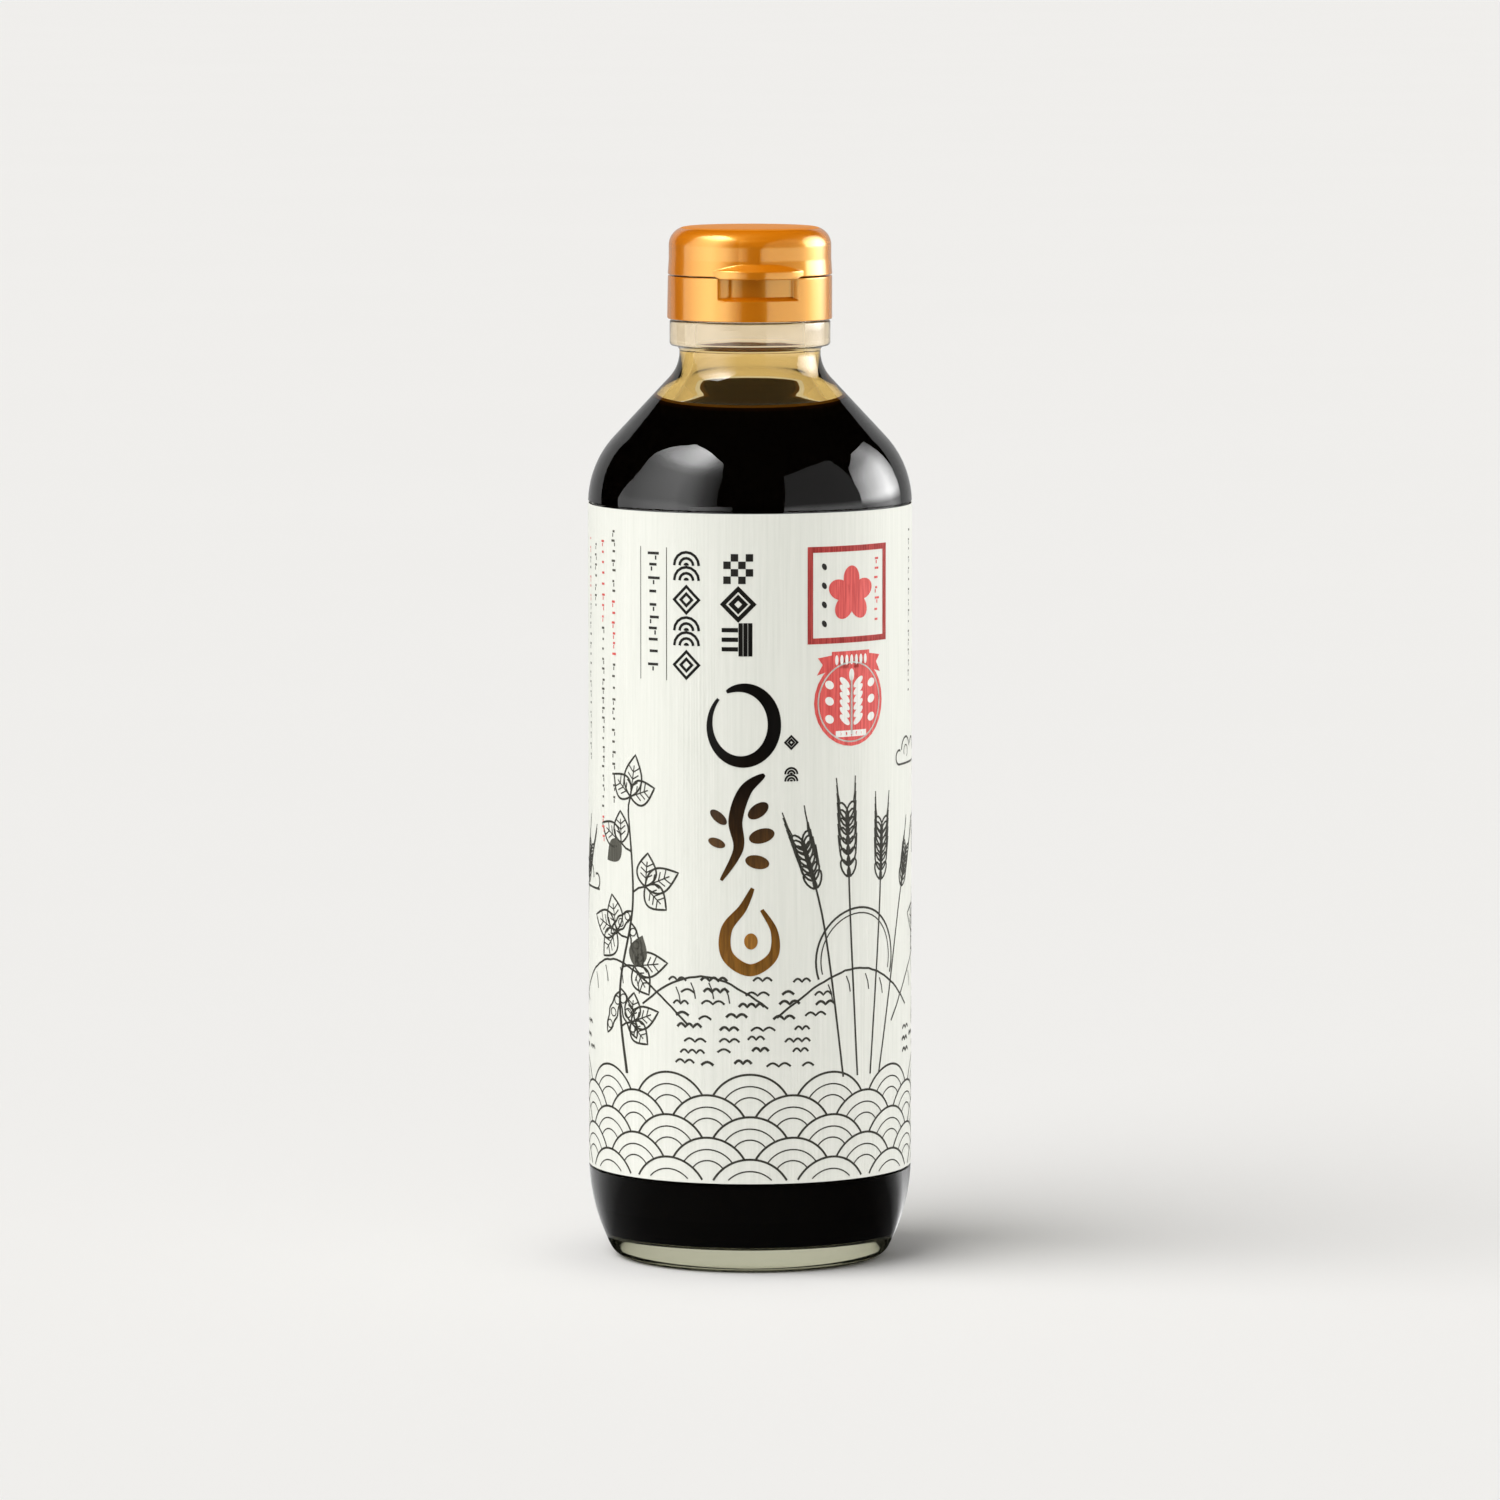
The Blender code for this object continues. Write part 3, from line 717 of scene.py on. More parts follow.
def foil_material():
    """Brush marks that run from black at the top to brown-gold foil at the foot."""
    made = Finish("foil_ink", Roughness=0.38, Metallic=0.25)
    streak = made.add("ShaderNodeMix", data_type="RGBA", blend_type="MULTIPLY", Factor=1.0)
    made.link(made.colour(made.height(*FOIL_LEVELS), FOIL), streak.inputs["A"])
    made.link(made.colour(made.fibres(2000.0, 160.0), FOIL_STREAKS), streak.inputs["B"])
    made.paint(streak.outputs["Result"])
    return made.material


def plastic_material(name, roughness, coat):
    """Pearly orange-gold moulded plastic."""
    made = Finish(name, Metallic=0.12, Roughness=roughness, IOR=2.4, Specular_Tint=(1.0, 0.92, 0.18, 1.0),
                  Coat_Weight=coat, Coat_Roughness=0.09, Coat_IOR=1.58)
    made.paint(made.colour(made.noise(9000.0), PLASTIC))
    made.bump(made.noise(2500.0), 0.15, 0.01)
    return made.material


def stage_material():
    made = Finish("stage_paper", Roughness=0.9, Specular_IOR_Level=0.0)
    made.paint(made.colour(made.noise(3.0, detail=3.0), STAGE_PAPER))
    return made.material


def glass_zone(face):
    """The zone of the glass that a face of its wall belongs to."""
    centre = face.center / MM
    outward = face.normal.x * centre.x + face.normal.y * centre.y > 0.0
    above = centre.z > SAUCE_LEVEL
    if centre.z < BASE_GLASS_TOP:
        return BASE
    if above and not outward and centre.z < MOUTH_TOP - LIP_EDGE:
        return FILMED
    if centre.z >= COLLAR_BOTTOM:
        return COLLAR
    if above and math.hypot(centre.x, centre.y) < NECK_GLASS_RADIUS:
        return NECK
    return CLEAR


def build_glass():
    glass = lathe("bottle_glass", glass_outline())
    for zone in GLASS_ZONES:
        glass.data.materials.append(glass_material(*zone))
    for face in glass.data.polygons:
        face.material_index = glass_zone(face)
    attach(glass, "bottle")
    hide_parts("glass_bottle")


def build_sauce():
    sauce = lathe("sauce_filling", sauce_outline())
    for material in (sauce_material(), sauce_surface_material(), sauce_underside_material()):
        sauce.data.materials.append(material)
    for face in sauce.data.polygons:
        if face.normal.z > SURFACE_NORMAL and face.center.z > (SAUCE_LEVEL - LEVEL_SLACK) * MM:
            face.material_index = 1
        elif face.normal.z < UNDERSIDE_NORMAL:
            face.material_index = 2
    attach(sauce, "bottle")
    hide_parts("soy_sauce")


def hang_tab(lid):
    """Draws the tab's lower edge down over the pocket."""
    middle = CAP_TURN - QUARTER
    for vert in lid.data.vertices:
        x, y, z = vert.co / MM
        off = turned_angle(math.atan2(y, x) - middle)
        proud = math.hypot(x, y) - CAP_RADIUS_HIGH - TAB_HANG_START
        if abs(off) < QUARTER and proud > 0.0 and z < PARTING_LEVEL + PARTING_GAP:
            vert.co.z -= MM * TAB_HANG * min(1.0, proud / TAB_HANG_REACH)


def build_cap():
    sides, top = (plastic_material(*finish) for finish in PLASTICS)
    angles = cap_angles()
    base = lathe("cap_skirt", cap_base_outline(), angles, closed=True, skin=base_skin, turn=CAP_TURN)
    base.data.materials.append(sides)
    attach(base, "bottle")
    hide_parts("cap_base")
    lid = lathe("cap_lid", lid_outline(), angles, skin=lid_skin, turn=CAP_TURN)
    hang_tab(lid)
    lid.data.materials.append(sides)
    lid.data.materials.append(top)
    for face in lid.data.polygons:
        if face.normal.z > LID_TOP_NORMAL and face.center.z > LID_FLARE_LEVEL * MM:
            face.material_index = 1
    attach(lid, "lid")
    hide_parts("flip_lid")


# Relief of the label's ribs
RIB_PITCH = 0.8
RIB_HEIGHT = 0.018
RIB_WANDER = 5.0
RIB_LEAST = 0.1
LABEL_COLUMNS = 1400
LABEL_ROW_STEP = 4.0


def rib_relief(angle, radius, height):
    """The label's outer face has fine upright ribs that come and go."""
    if radius < BODY_RADIUS - LABEL_THICKNESS / 2:
        return radius
    along = angle * BODY_RADIUS
    wander = noise.noise(Vector((along * 0.5, height * 0.01, 3.0)))
    wave = math.sin(TAU * along / RIB_PITCH + RIB_WANDER * wander)
    strength = 0.5 + noise.noise(Vector((along * 0.12, height * 0.02, 9.0)))
    return radius - RIB_HEIGHT + RIB_HEIGHT * wave * min(max(strength, RIB_LEAST), 1.0)


def build_label():
    gap = LABEL_END_GAP / BODY_RADIUS
    turn = TAU - gap
    angles = [gap / 2 - math.pi + turn * i / LABEL_COLUMNS for i in range(LABEL_COLUMNS + 1)]
    inner = BODY_RADIUS - LABEL_THICKNESS
    top = (BODY_RADIUS, LABEL_TOP)
    bottom = (BODY_RADIUS, LABEL_BOTTOM)
    outline = [(inner, LABEL_TOP), top] + rows(top, bottom, LABEL_ROW_STEP) + [(inner, LABEL_BOTTOM)]
    label = lathe("paper_label", outline, angles, closed=True, skin=rib_relief, ends=True)
    label.data.materials.append(paper_material())
    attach(label, "bottle")
    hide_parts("label")


# The print: flat shapes in (u, v), mm round the label from its front and mm up, laid on the paper
INK_THICKNESS = 0.02
INK_STEP = 1.4
LINE = 0.48
FINE_LINE = 0.3
RULE_LINE = 0.18
PRINT_MARGIN = 0.4
PRINT_SEED = 11

# Inks: piece, height above the paper, material, and its dark and light tones
INKS = {
    "grey": ("print_grey", 0.020, "grey_ink", (0.058, 0.056, 0.042), (0.105, 0.102, 0.084)),
    "black": ("print_black", 0.024, "black_ink", (0.007, 0.006, 0.004), (0.022, 0.020, 0.015)),
    "red": ("print_red", 0.028, "red_ink", (0.54, 0.052, 0.046), (0.80, 0.125, 0.110)),
    "white": ("print_white", 0.034, "paper_white_ink", (0.74, 0.74, 0.69), (0.86, 0.86, 0.81)),
}
GOLD_LIFT = 0.040

# Wave scales. Their arcs: share of the radius, degrees hidden at each end, and line width
WAVE_COLUMNS = 12
WAVE_RADIUS = math.pi * BODY_RADIUS / WAVE_COLUMNS
WAVE_FOOT = 16.9
WAVE_ROWS = 5
WAVE_ARCS = ((1.0, 30, LINE), (0.72, 34, FINE_LINE), (0.46, 35, FINE_LINE))

# Hills: left end, width, height, foot. Ripples: left and right end, bottom and top
HILLS = (
    (-58, 44, 13, 56), (-26, 30, 7, 60), (6, 40, 10, 58),
    (38, 36, 14, 55), (68, 42, 9, 57), (-100, 48, 10, 58),
)
RIPPLE_PITCH = 2.6
RIPPLES = ((-19.0, 15.0, 47.5, 66.0), (40.0, 104.0, 47.5, 54.0), (-110.0, -46.0, 47.5, 54.0))

# Bean plants: leaves by share of the stem, size, tilt and whether filled, and pods without the last
PLANT_SHIFTS = (0.0, 93.0, -66.0)
PLANT_STEM = ((-31.0, 44.0), (-33.5, 62.0), (-29.0, 82.0), (-30.5, 103.0))
PLANT_LEAVES = (
    (0.98, 1.0, 80, False), (0.84, 0.95, 155, True), (0.72, 1.0, 22, False),
    (0.55, 1.1, 165, False), (0.44, 1.0, 8, True), (0.22, 0.9, 20, False),
)
PLANT_PODS = ((0.36, 1.0, -62), (0.34, 0.9, -118), (0.6, 0.85, -70), (0.64, 0.8, 215))

# Wheat: each stalk's root, bend and tip
WHEAT_SHIFTS = (0.0, 63.0, -96.0)
WHEAT_STALKS = (
    ((22.0, 44.0), (17.0, 78.0), (12.0, 96.2)),
    ((26.0, 44.0), (24.0, 78.0), (23.0, 102.8)),
    ((30.0, 44.0), (33.0, 78.0), (34.0, 98.6)),
    ((33.0, 44.0), (41.0, 78.0), (46.0, 91.4)),
)
WHEAT_PAIRS = 7
WHEAT_STEPS = 22

# Sun behind the wheat. Its rings: radius, line width, and the degrees where each starts and ends
SUN_MIDDLE = (26.5, 70.0)
SUN_RINGS = ((11.5, LINE, 200, -20), (10.3, FINE_LINE, 196, -16))

# Clouds: middle and size. Their curls: middle, radius, line width, start and end in degrees
CLOUDS = ((50.0, 112.0, 0.9), (-52.0, 84.0, 0.9))
CLOUD_CURLS = (
    (-9.0, 1.8, 1.8, LINE, 270, 60),
    (-4.0, 3.2, 3.4, LINE, 175, 15),
    (2.6, 3.0, 3.0, LINE, 150, -10),
    (8.4, 1.9, 1.9, LINE, 120, -90),
    (-4.0, 3.0, 1.6, FINE_LINE, 210, -60),
)

# Columns of fine print: inks, middle, top, bottom, width of the bars and their pitch
FINE_PRINT = (
    ("red grey", -49.6, 162.0, 112.0, 1.2, 2.2),
    ("grey", -45.0, 161.0, 147.0, 1.2, 2.2),
    ("red grey", -40.6, 162.0, 96.0, 1.4, 2.2),
    ("grey red", -35.8, 164.5, 104.0, 1.5, 2.3),
    ("grey", 48.8, 164.0, 127.0, 1.2, 2.2),
    ("black", -22.9, 160.4, 133.6, 3.2, 2.7),
)
RULES = (-26.4, -19.3)
RULE_ENDS = (161.7, 132.5)

# Brushed ring: middle, half sizes, and the degrees where it starts and through which it turns
RING_MIDDLE = (-1.8, 123.0)
RING_REACH = (7.2, 8.2)
RING_START = 118
RING_TURN = -342
RING_STEPS = 60

# Brushed pod and drop, as points that a smooth line passes, and discs with half sizes and tilts
POD_STEM = ((3.2, 112.0), (-1.0, 108.5), (-3.2, 102.0), (-2.6, 95.5), (-6.4, 88.5))
POD_BEANS = (
    (1.8, 104.0, 2.6, 1.5, 35), (2.6, 98.4, 2.9, 1.6, 15), (1.6, 92.6, 2.7, 1.5, -12),
    (-7.0, 102.5, 2.3, 1.1, -40), (-7.4, 96.8, 2.0, 1.0, -20),
)
DROP_HEART = (0.2, 75.0, 1.5, 1.8)
DROP = (
    (0.6, 86.8), (-1.6, 82.4), (-5.2, 77.6), (-5.0, 71.8),
    (0.0, 68.6), (5.0, 71.6), (5.4, 77.0), (2.6, 82.0),
)

# The red frame, its blossom, and the badge below it
FRAME_SIDES = (13.6, 34.8, 141.2, 161.4)
FRAME_TICKS = [(17.0, 157.6), (17.0, 153.4), (17.0, 149.2), (17.0, 145.0)]
FRAME_COLUMN = (31.9, 158.8, 144.0, 1.5, 2.2)
BLOSSOM = (24.2, 151.3)
BADGE = (24.2, 127.4)
RIBBON_TAIL = ((4.8, 10.6), (8.8, 10.0), (7.6, 8.5), (9.0, 6.2), (4.8, 7.4))

# The ruled table, and the blocks of fine print on the far side
TABLE_SIDES = (74.0, 104.0, 118.0, 160.0)
TABLE_ROW = 4.2
BACK_COLUMNS = (-104.0, -99.5, -95.0, -90.5, -86.0, -81.5)


class Ink:
    """All that is printed in one colour: strokes and filled patches, still flat."""

    def __init__(self, name, lift):
        self.name = name
        self.lift = lift
        self.strokes = bmesh.new()
        self.patches = bmesh.new()

    def brush(self, points, widths):
        """A stroke along points, with a width at each of them."""
        sides = []
        last = len(points) - 1
        for i, (u, v) in enumerate(points):
            (u0, v0), (u1, v1) = points[max(i - 1, 0)], points[min(i + 1, last)]
            length = math.hypot(u1 - u0, v1 - v0)
            du = (v0 - v1) / length * widths[i] / 2
            dv = (u1 - u0) / length * widths[i] / 2
            sides.append([self.strokes.verts.new((u + k * du, v + k * dv, 0.0)) for k in (1, -1)])
        for (a, b), (c, d) in zip(sides, sides[1:]):
            self.strokes.faces.new((a, b, d, c))

    def line(self, points, width=LINE):
        self.brush(points, [width] * len(points))

    def loop(self, points, width=LINE):
        self.line(points + points[:2], width)

    def path(self, corners, width=LINE, closed=False):
        """A line with straight runs between its corners, in steps that follow the round of the label."""
        ends = corners + corners[:1] if closed else corners
        for start, end in zip(ends, ends[1:]):
            run = math.dist(start, end)
            over = width / 2 / run
            steps = max(1, math.ceil(run / INK_STEP))
            shares = [-over] + [i / steps for i in range(1, steps)] + [1 + over]
            self.line([between(start, end, share) for share in shares], width)

    def ring(self, u, v, radius, width=LINE, start=0.0, end=360.0):
        steps = max(8, math.ceil(radius * math.radians(abs(end - start)) / INK_STEP))
        self.line(arc((u, v), radius, math.radians(start), math.radians(end), steps), width)

    def patch(self, points):
        area = sum(u0 * v1 - u1 * v0 for (u0, v0), (u1, v1) in zip(points, points[1:] + points[:1]))
        points = points if area > 0 else points[::-1]
        self.patches.faces.new([self.patches.verts.new((u, v, 0.0)) for u, v in points])

    def disc(self, u, v, half_width, half_height, tilt=0.0):
        self.patch(placed(oval(half_width, half_height), u, v, tilt))

    def bar(self, u, v, width, height):
        self.patch([(u + x * width / 2, v + y * height / 2) for x, y in ((-1, -1), (1, -1), (1, 1), (-1, 1))])

    def box(self, sides, width):
        """A ruled frame, by its left, right, lower and upper sides."""
        left, right, low, high = sides
        self.path([(left, low), (right, low), (right, high), (left, high)], width, closed=True)

    def finish(self, material):
        """Wraps everything round the label as one thin piece."""
        reach = math.pi * BODY_RADIUS
        cut = -reach
        while cut < reach:
            bmesh.ops.bisect_plane(
                self.patches,
                geom=self.patches.verts[:] + self.patches.edges[:] + self.patches.faces[:],
                plane_co=(cut, 0.0, 0.0),
                plane_no=(1.0, 0.0, 0.0),
            )
            cut += INK_STEP
        flat = bpy.data.meshes.new(self.name + "_patches")
        self.patches.to_mesh(flat)
        self.patches.free()
        self.strokes.from_mesh(flat)
        bpy.data.meshes.remove(flat)
        bmesh.ops.solidify(self.strokes, geom=self.strokes.faces[:], thickness=INK_THICKNESS)
        for vert in self.strokes.verts:
            u, v, height = vert.co
            angle = u / BODY_RADIUS
            radius = BODY_RADIUS + self.lift + height
            vert.co = (MM * radius * math.sin(angle), -MM * radius * math.cos(angle), MM * v)
        made = finished(self.name, self.strokes)
        made.data.materials.append(material)
        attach(made, "bottle")
        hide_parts("label")


def oval(half_width, half_height, count=28):
    return [(half_width * math.cos(a), half_height * math.sin(a)) for a in even_angles(count)]


def mirrored(upper):
    """A closed shape from its upper edge and the same edge mirrored below."""
    return upper + [(x, -y) for x, y in upper[1:-1]][::-1]


def placed(points, u, v, tilt_degrees=0.0, size=1.0):
    """Points turned, scaled and moved to (u, v)."""
    c = math.cos(math.radians(tilt_degrees)) * size
    s = math.sin(math.radians(tilt_degrees)) * size
    return [(u + x * c - y * s, v + x * s + y * c) for x, y in points]


def curve(corners, steps=24, shift=0.0):
    """A smooth line through its corners (Catmull-Rom), shifted round the label."""
    corners = [(u + shift, v) for u, v in corners]
    known = corners[:1] + corners + corners[-1:]
    points = []
    for a, b, c, d in zip(known, known[1:], known[2:], known[3:]):
        for i in range(steps):
            t = i / steps
            points.append(tuple(
                0.5 * (2 * b[k] + (c[k] - a[k]) * t + (2 * a[k] - 5 * b[k] + 4 * c[k] - d[k]) * t**2
                       + (3 * b[k] - a[k] - 3 * c[k] + d[k]) * t**3)
                for k in (0, 1)
            ))
    return points + [corners[-1]]


def swell(count, span, least, rise, lean):
    """Widths of a brush stroke that swells between its ends."""
    return [least + rise * math.sin(math.pi * (i / span) ** lean) for i in range(count)]


def leaf(ink, u, v, length, width, tilt, filled=False):
    """A pointed leaf with a midrib and side veins, from its stalk end."""
    count = 14
    shares = [i / count for i in range(count + 1)]
    outline = mirrored([(length * t, width / 2 * math.sin(math.pi * t**0.8)) for t in shares])
    if filled:
        ink.patch(placed(outline, u, v, tilt))
        return
    ink.loop(placed(outline, u, v, tilt))
    ink.line(placed([(length * i / 8, 0.0) for i in range(7)], u, v, tilt), FINE_LINE)
    for share in (0.25, 0.42, 0.59):
        for side in (1, -1):
            vein = [(length * share, 0.0), (length * (share + 0.13), width * 0.3 * side)]
            ink.line(placed(vein, u, v, tilt), FINE_LINE)


def leaf_group(ink, u, v, size, tilt, filled=False):
    """Three leaves on one stalk."""
    stalk = placed([(0.0, 0.0), (2.0, 0.3), (4.0, 0.0)], u, v, tilt, size)
    ink.line(stalk)
    tip_u, tip_v = stalk[-1]
    for turn, length in ((0, 9.5), (62, 7.5), (-62, 7.5)):
        leaf(ink, tip_u, tip_v, length * size, 5.6 * size, tilt + turn, filled and turn == 62)


def pod(ink, u, v, size, tilt):
    """A bean pod with three beans."""
    count = 24
    upper = []
    for i in range(count + 1):
        t = i / count
        swelling = 1 + 0.13 * math.cos(6 * math.pi * t + math.pi)
        upper.append((12.0 * t, 1.7 * math.sin(math.pi * t) ** 0.6 * swelling))
    ink.loop(placed(mirrored(upper), u, v, tilt, size))
    for along in (2.5, 6.0, 9.5):
        ink.loop(placed(placed(oval(1.0, 1.15, 14), along, 0.0), u, v, tilt, size), FINE_LINE)


def plant(ink, shift):
    stem = curve(PLANT_STEM, shift=shift)
    ink.brush(stem, [0.9 - 0.45 * i / len(stem) for i in range(len(stem))])
    for share, size, tilt, filled in PLANT_LEAVES:
        leaf_group(ink, *stem[int(share * (len(stem) - 1))], size, tilt, filled)
    for share, size, tilt in PLANT_PODS:
        pod(ink, *stem[int(share * (len(stem) - 1))], size, tilt)


def wheat_ear(ink, stem):
    """A stalk of wheat with paired grains and long awns at its upper end."""
    ink.line(stem)
    for i in range(WHEAT_PAIRS):
        at = stem[len(stem) - 1 - 2 * (WHEAT_PAIRS - i)]
        onward = stem[len(stem) + 1 - 2 * (WHEAT_PAIRS - i)]
        lean = math.degrees(math.atan2(onward[1] - at[1], onward[0] - at[0]))
        for side in (1, -1):
            tilt = lean + 27 * side
            grain = [(2.0 + x, y) for x, y in oval(2.1, 0.95, 12)]
            ink.loop(placed(grain, *at, tilt))
            tip = placed([(4.0, 0.0), (6.0, -0.5 * side), (9.5, -1.9 * side)], *at, tilt)
            ink.line(tip, FINE_LINE)


def wave_field(ink):
    """The traditional pattern of overlapping waves, all round the foot of the label."""
    limit = math.pi * BODY_RADIUS - LABEL_END_GAP / 2 - PRINT_MARGIN
    for row in range(WAVE_ROWS):
        v = WAVE_FOOT + row * WAVE_RADIUS / 2
        for column in range(-WAVE_COLUMNS // 2 - 1, WAVE_COLUMNS // 2 + 1):
            u = (column + 0.5 * (row % 2)) * 2 * WAVE_RADIUS
            for share, hidden, width in WAVE_ARCS:
                hidden = hidden if row else 0
                reach = WAVE_RADIUS * share
                angles = [math.radians(a) for a in range(hidden, 181 - hidden, 5)]
                arch = [(u + reach * math.cos(a), v + reach * math.sin(a)) for a in angles]
                arch = [p for p in arch if abs(p[0]) < limit and p[1] > LABEL_BOTTOM + PRINT_MARGIN]
                if len(arch) > 1:
                    ink.line(arch, width)


def ripples(ink, chance, left, right, low, high):
    """Short wavy strokes in loose rows over a patch of water."""
    v = low
    while v < high:
        u = left + chance.uniform(0.0, 5.0)
        while u < right:
            length = chance.uniform(2.4, 6.0)
            crests = max(1, round(length / 2.2))
            steps = 6 * crests
            drift = chance.uniform(-0.5, 0.5)
            wave = [
                (u + length * k / steps, v + drift + 0.75 * abs(math.sin(math.pi * crests * k / steps)))
                for k in range(steps + 1)
            ]
            ink.line(wave, chance.choice((LINE, LINE * 1.25)))
            u += length + chance.uniform(1.2, 6.0)
        v += RIPPLE_PITCH


def cloud(ink, u, v, size):
    """A band of cloud with curled ends."""
    ink.path(placed([(-9.0, 0.0), (10.0, 0.0)], u, v, 0, size))
    for x, y, radius, width, start, end in CLOUD_CURLS:
        ink.ring(u + x * size, v + y * size, radius * size, width, start, end)


def hills(ink, chance):
    """Long low hills behind the water, all round."""
    for left, width, height, foot in HILLS:
        steps = math.ceil(width / INK_STEP)
        ridge = []
        for i in range(steps + 1):
            t = i / steps
            wobble = chance.uniform(-0.12, 0.12)
            ridge.append((left + width * t, foot + height * math.sin(math.pi * t) + wobble))
        ink.line(ridge)
        for t in (0.3, 0.42, 0.56, 0.68):
            u, v = left + width * t, foot + height * math.sin(math.pi * t)
            ink.line([(u, v - 1.2), (u + 0.8, v - 3.0), (u + 1.1, v - 4.8)], FINE_LINE)


def greeked_column(inks, chance, u, top, bottom, width, pitch):
    """A column of fine print, shown as short bars and ticks."""
    v = top
    ink = inks[0]
    while v > bottom:
        if chance.random() < 0.22:
            ink = chance.choice(inks)
        share = chance.uniform(0.45, 1.0)
        ink.bar(u + chance.uniform(-0.15, 0.15) * width, v, width * share, 0.22 * pitch)
        if chance.random() < 0.7:
            ink.bar(u + chance.uniform(-0.3, 0.3) * width, v - 0.36 * pitch, 0.14 * pitch, 0.34 * pitch)
        v -= pitch * chance.uniform(0.9, 1.15)


def tile_waves(ink, u, v, size, width):
    for lift in (-0.5, 0.06):
        for share in (1.0, 0.55, 0.12):
            ink.ring(u, v + lift * size, size / 2 * share, width, 0, 180)


def tile_diamond(ink, u, v, size, width):
    for share in (1.0, 0.45):
        reach = size / 2 * share
        ink.path([(u - reach, v), (u, v - reach), (u + reach, v), (u, v + reach)], width, closed=True)


def tile_checker(ink, u, v, size):
    step = size / 4
    for row in range(4):
        for column in range(4):
            if (row + column) % 2 == 0:
                ink.bar(u + (column - 1.5) * step, v + (row - 1.5) * step, step, step)


def tile_weave(ink, u, v, size, width):
    for k in (-0.33, 0.0, 0.33):
        level = v + k * size
        across = u + size * (0.25 + k / 2)
        ink.path([(u - size / 2, level), (u - size * 0.08, level)], width)
        ink.path([(across, v - size / 2), (across, v + size / 2)], width)


def brush_marks(gold):
    """The large marks down the middle: a brushed circle, a pod and a drop."""
    turns = [math.radians(RING_START + RING_TURN * i / RING_STEPS) for i in range(RING_STEPS + 1)]
    (u, v), (reach, height) = RING_MIDDLE, RING_REACH
    ring = [(u + reach * math.cos(a), v + height * math.sin(a)) for a in turns]
    gold.brush(ring, swell(RING_STEPS + 1, RING_STEPS, 0.7, 2.3, 0.7))
    stem = curve(POD_STEM)
    gold.brush(stem, swell(len(stem), len(stem), 0.6, 2.6, 0.8))
    for bean in POD_BEANS:
        gold.disc(*bean)
    drop = curve(DROP)
    gold.brush(drop, swell(len(drop), len(drop), 0.8, 2.0, 0.9))
    gold.disc(*DROP_HEART)


def red_frame(red, black, chance):
    """A square frame round a plain five-petalled blossom, with small ticks at both sides."""
    red.box(FRAME_SIDES, 1.3)
    for k in range(5):
        tilt = 90 + 72 * k
        red.disc(*placed([(3.4, 0.0)], *BLOSSOM, tilt)[0], 2.9, 2.25, tilt)
    red.disc(*BLOSSOM, 1.5, 1.5)
    for u, v in FRAME_TICKS:
        black.disc(u, v, 0.55, 0.8, 30)
    greeked_column((red, black), chance, *FRAME_COLUMN)


def red_roundel(red, white):
    """A round badge with an ear of wheat and a ribbon, all plain shapes."""
    middle, level = BADGE
    red.disc(middle, level, 9.7, 9.8)
    white.loop(placed(oval(8.7, 8.8, 48), middle, level), 0.35)
    red.bar(middle, level + 9.4, 10.6, 3.8)
    white.line([(middle, level - 7.2 + k) for k in range(14)], 0.5)
    white.disc(middle, level + 6.0, 0.7, 1.4)
    white.bar(middle, level - 7.0, 8.6, 1.4)
    for side in (1, -1):
        red.patch([(middle + side * u, level + v) for u, v in RIBBON_TAIL])
        for k in range(6):
            white.disc(middle + side * 1.9, level - 3.9 + 1.65 * k, 1.7, 0.7, 90 - 48 * side)
        for v in (-3.6, 0.4, 4.0):
            white.disc(middle + side * 5.9, level + v, 1.15, 0.9, 30 * side)
    for k in range(-3, 4):
        white.disc(middle + 1.35 * k, level + 9.4, 0.42, 1.1)
    for k in range(-2, 3):
        red.disc(middle + 1.6 * k, level - 7.0, 0.4, 0.4)


def back_panel(black, grey, chance):
    """A ruled table and two blocks of fine print, on the side that faces away."""
    left, right, low, high = TABLE_SIDES
    grey.box(TABLE_SIDES, LINE)
    row = low
    while row < high - 4.0:
        row += TABLE_ROW
        grey.path([(left, row), (right, row)], FINE_LINE)
        black.bar(left + 5.0, row - TABLE_ROW / 2, 7.0, 0.7)
        black.bar(right - 5.5, row - TABLE_ROW / 2, chance.uniform(4.0, 8.0), 0.7)
    for u in BACK_COLUMNS:
        greeked_column((black,), chance, u, 162.0, chance.uniform(122.0, 130.0), 1.7, 2.3)


# Geometric tiles: how each is drawn, its middle, its size and its line width
TILES = (
    (tile_waves, -14.4, 157.6, 5.9, 0.62),
    (tile_diamond, -14.4, 150.4, 5.9, 0.62),
    (tile_waves, -14.4, 143.2, 5.9, 0.62),
    (tile_diamond, -14.4, 136.0, 5.9, 0.62),
    (tile_checker, -2.6, 157.4, 6.6),
    (tile_diamond, -2.6, 149.6, 6.8, 0.95),
    (tile_weave, -2.6, 141.8, 6.4, 0.95),
    (tile_diamond, 9.2, 119.0, 2.8, 0.45),
    (tile_waves, 9.2, 111.8, 2.8, 0.45),
)


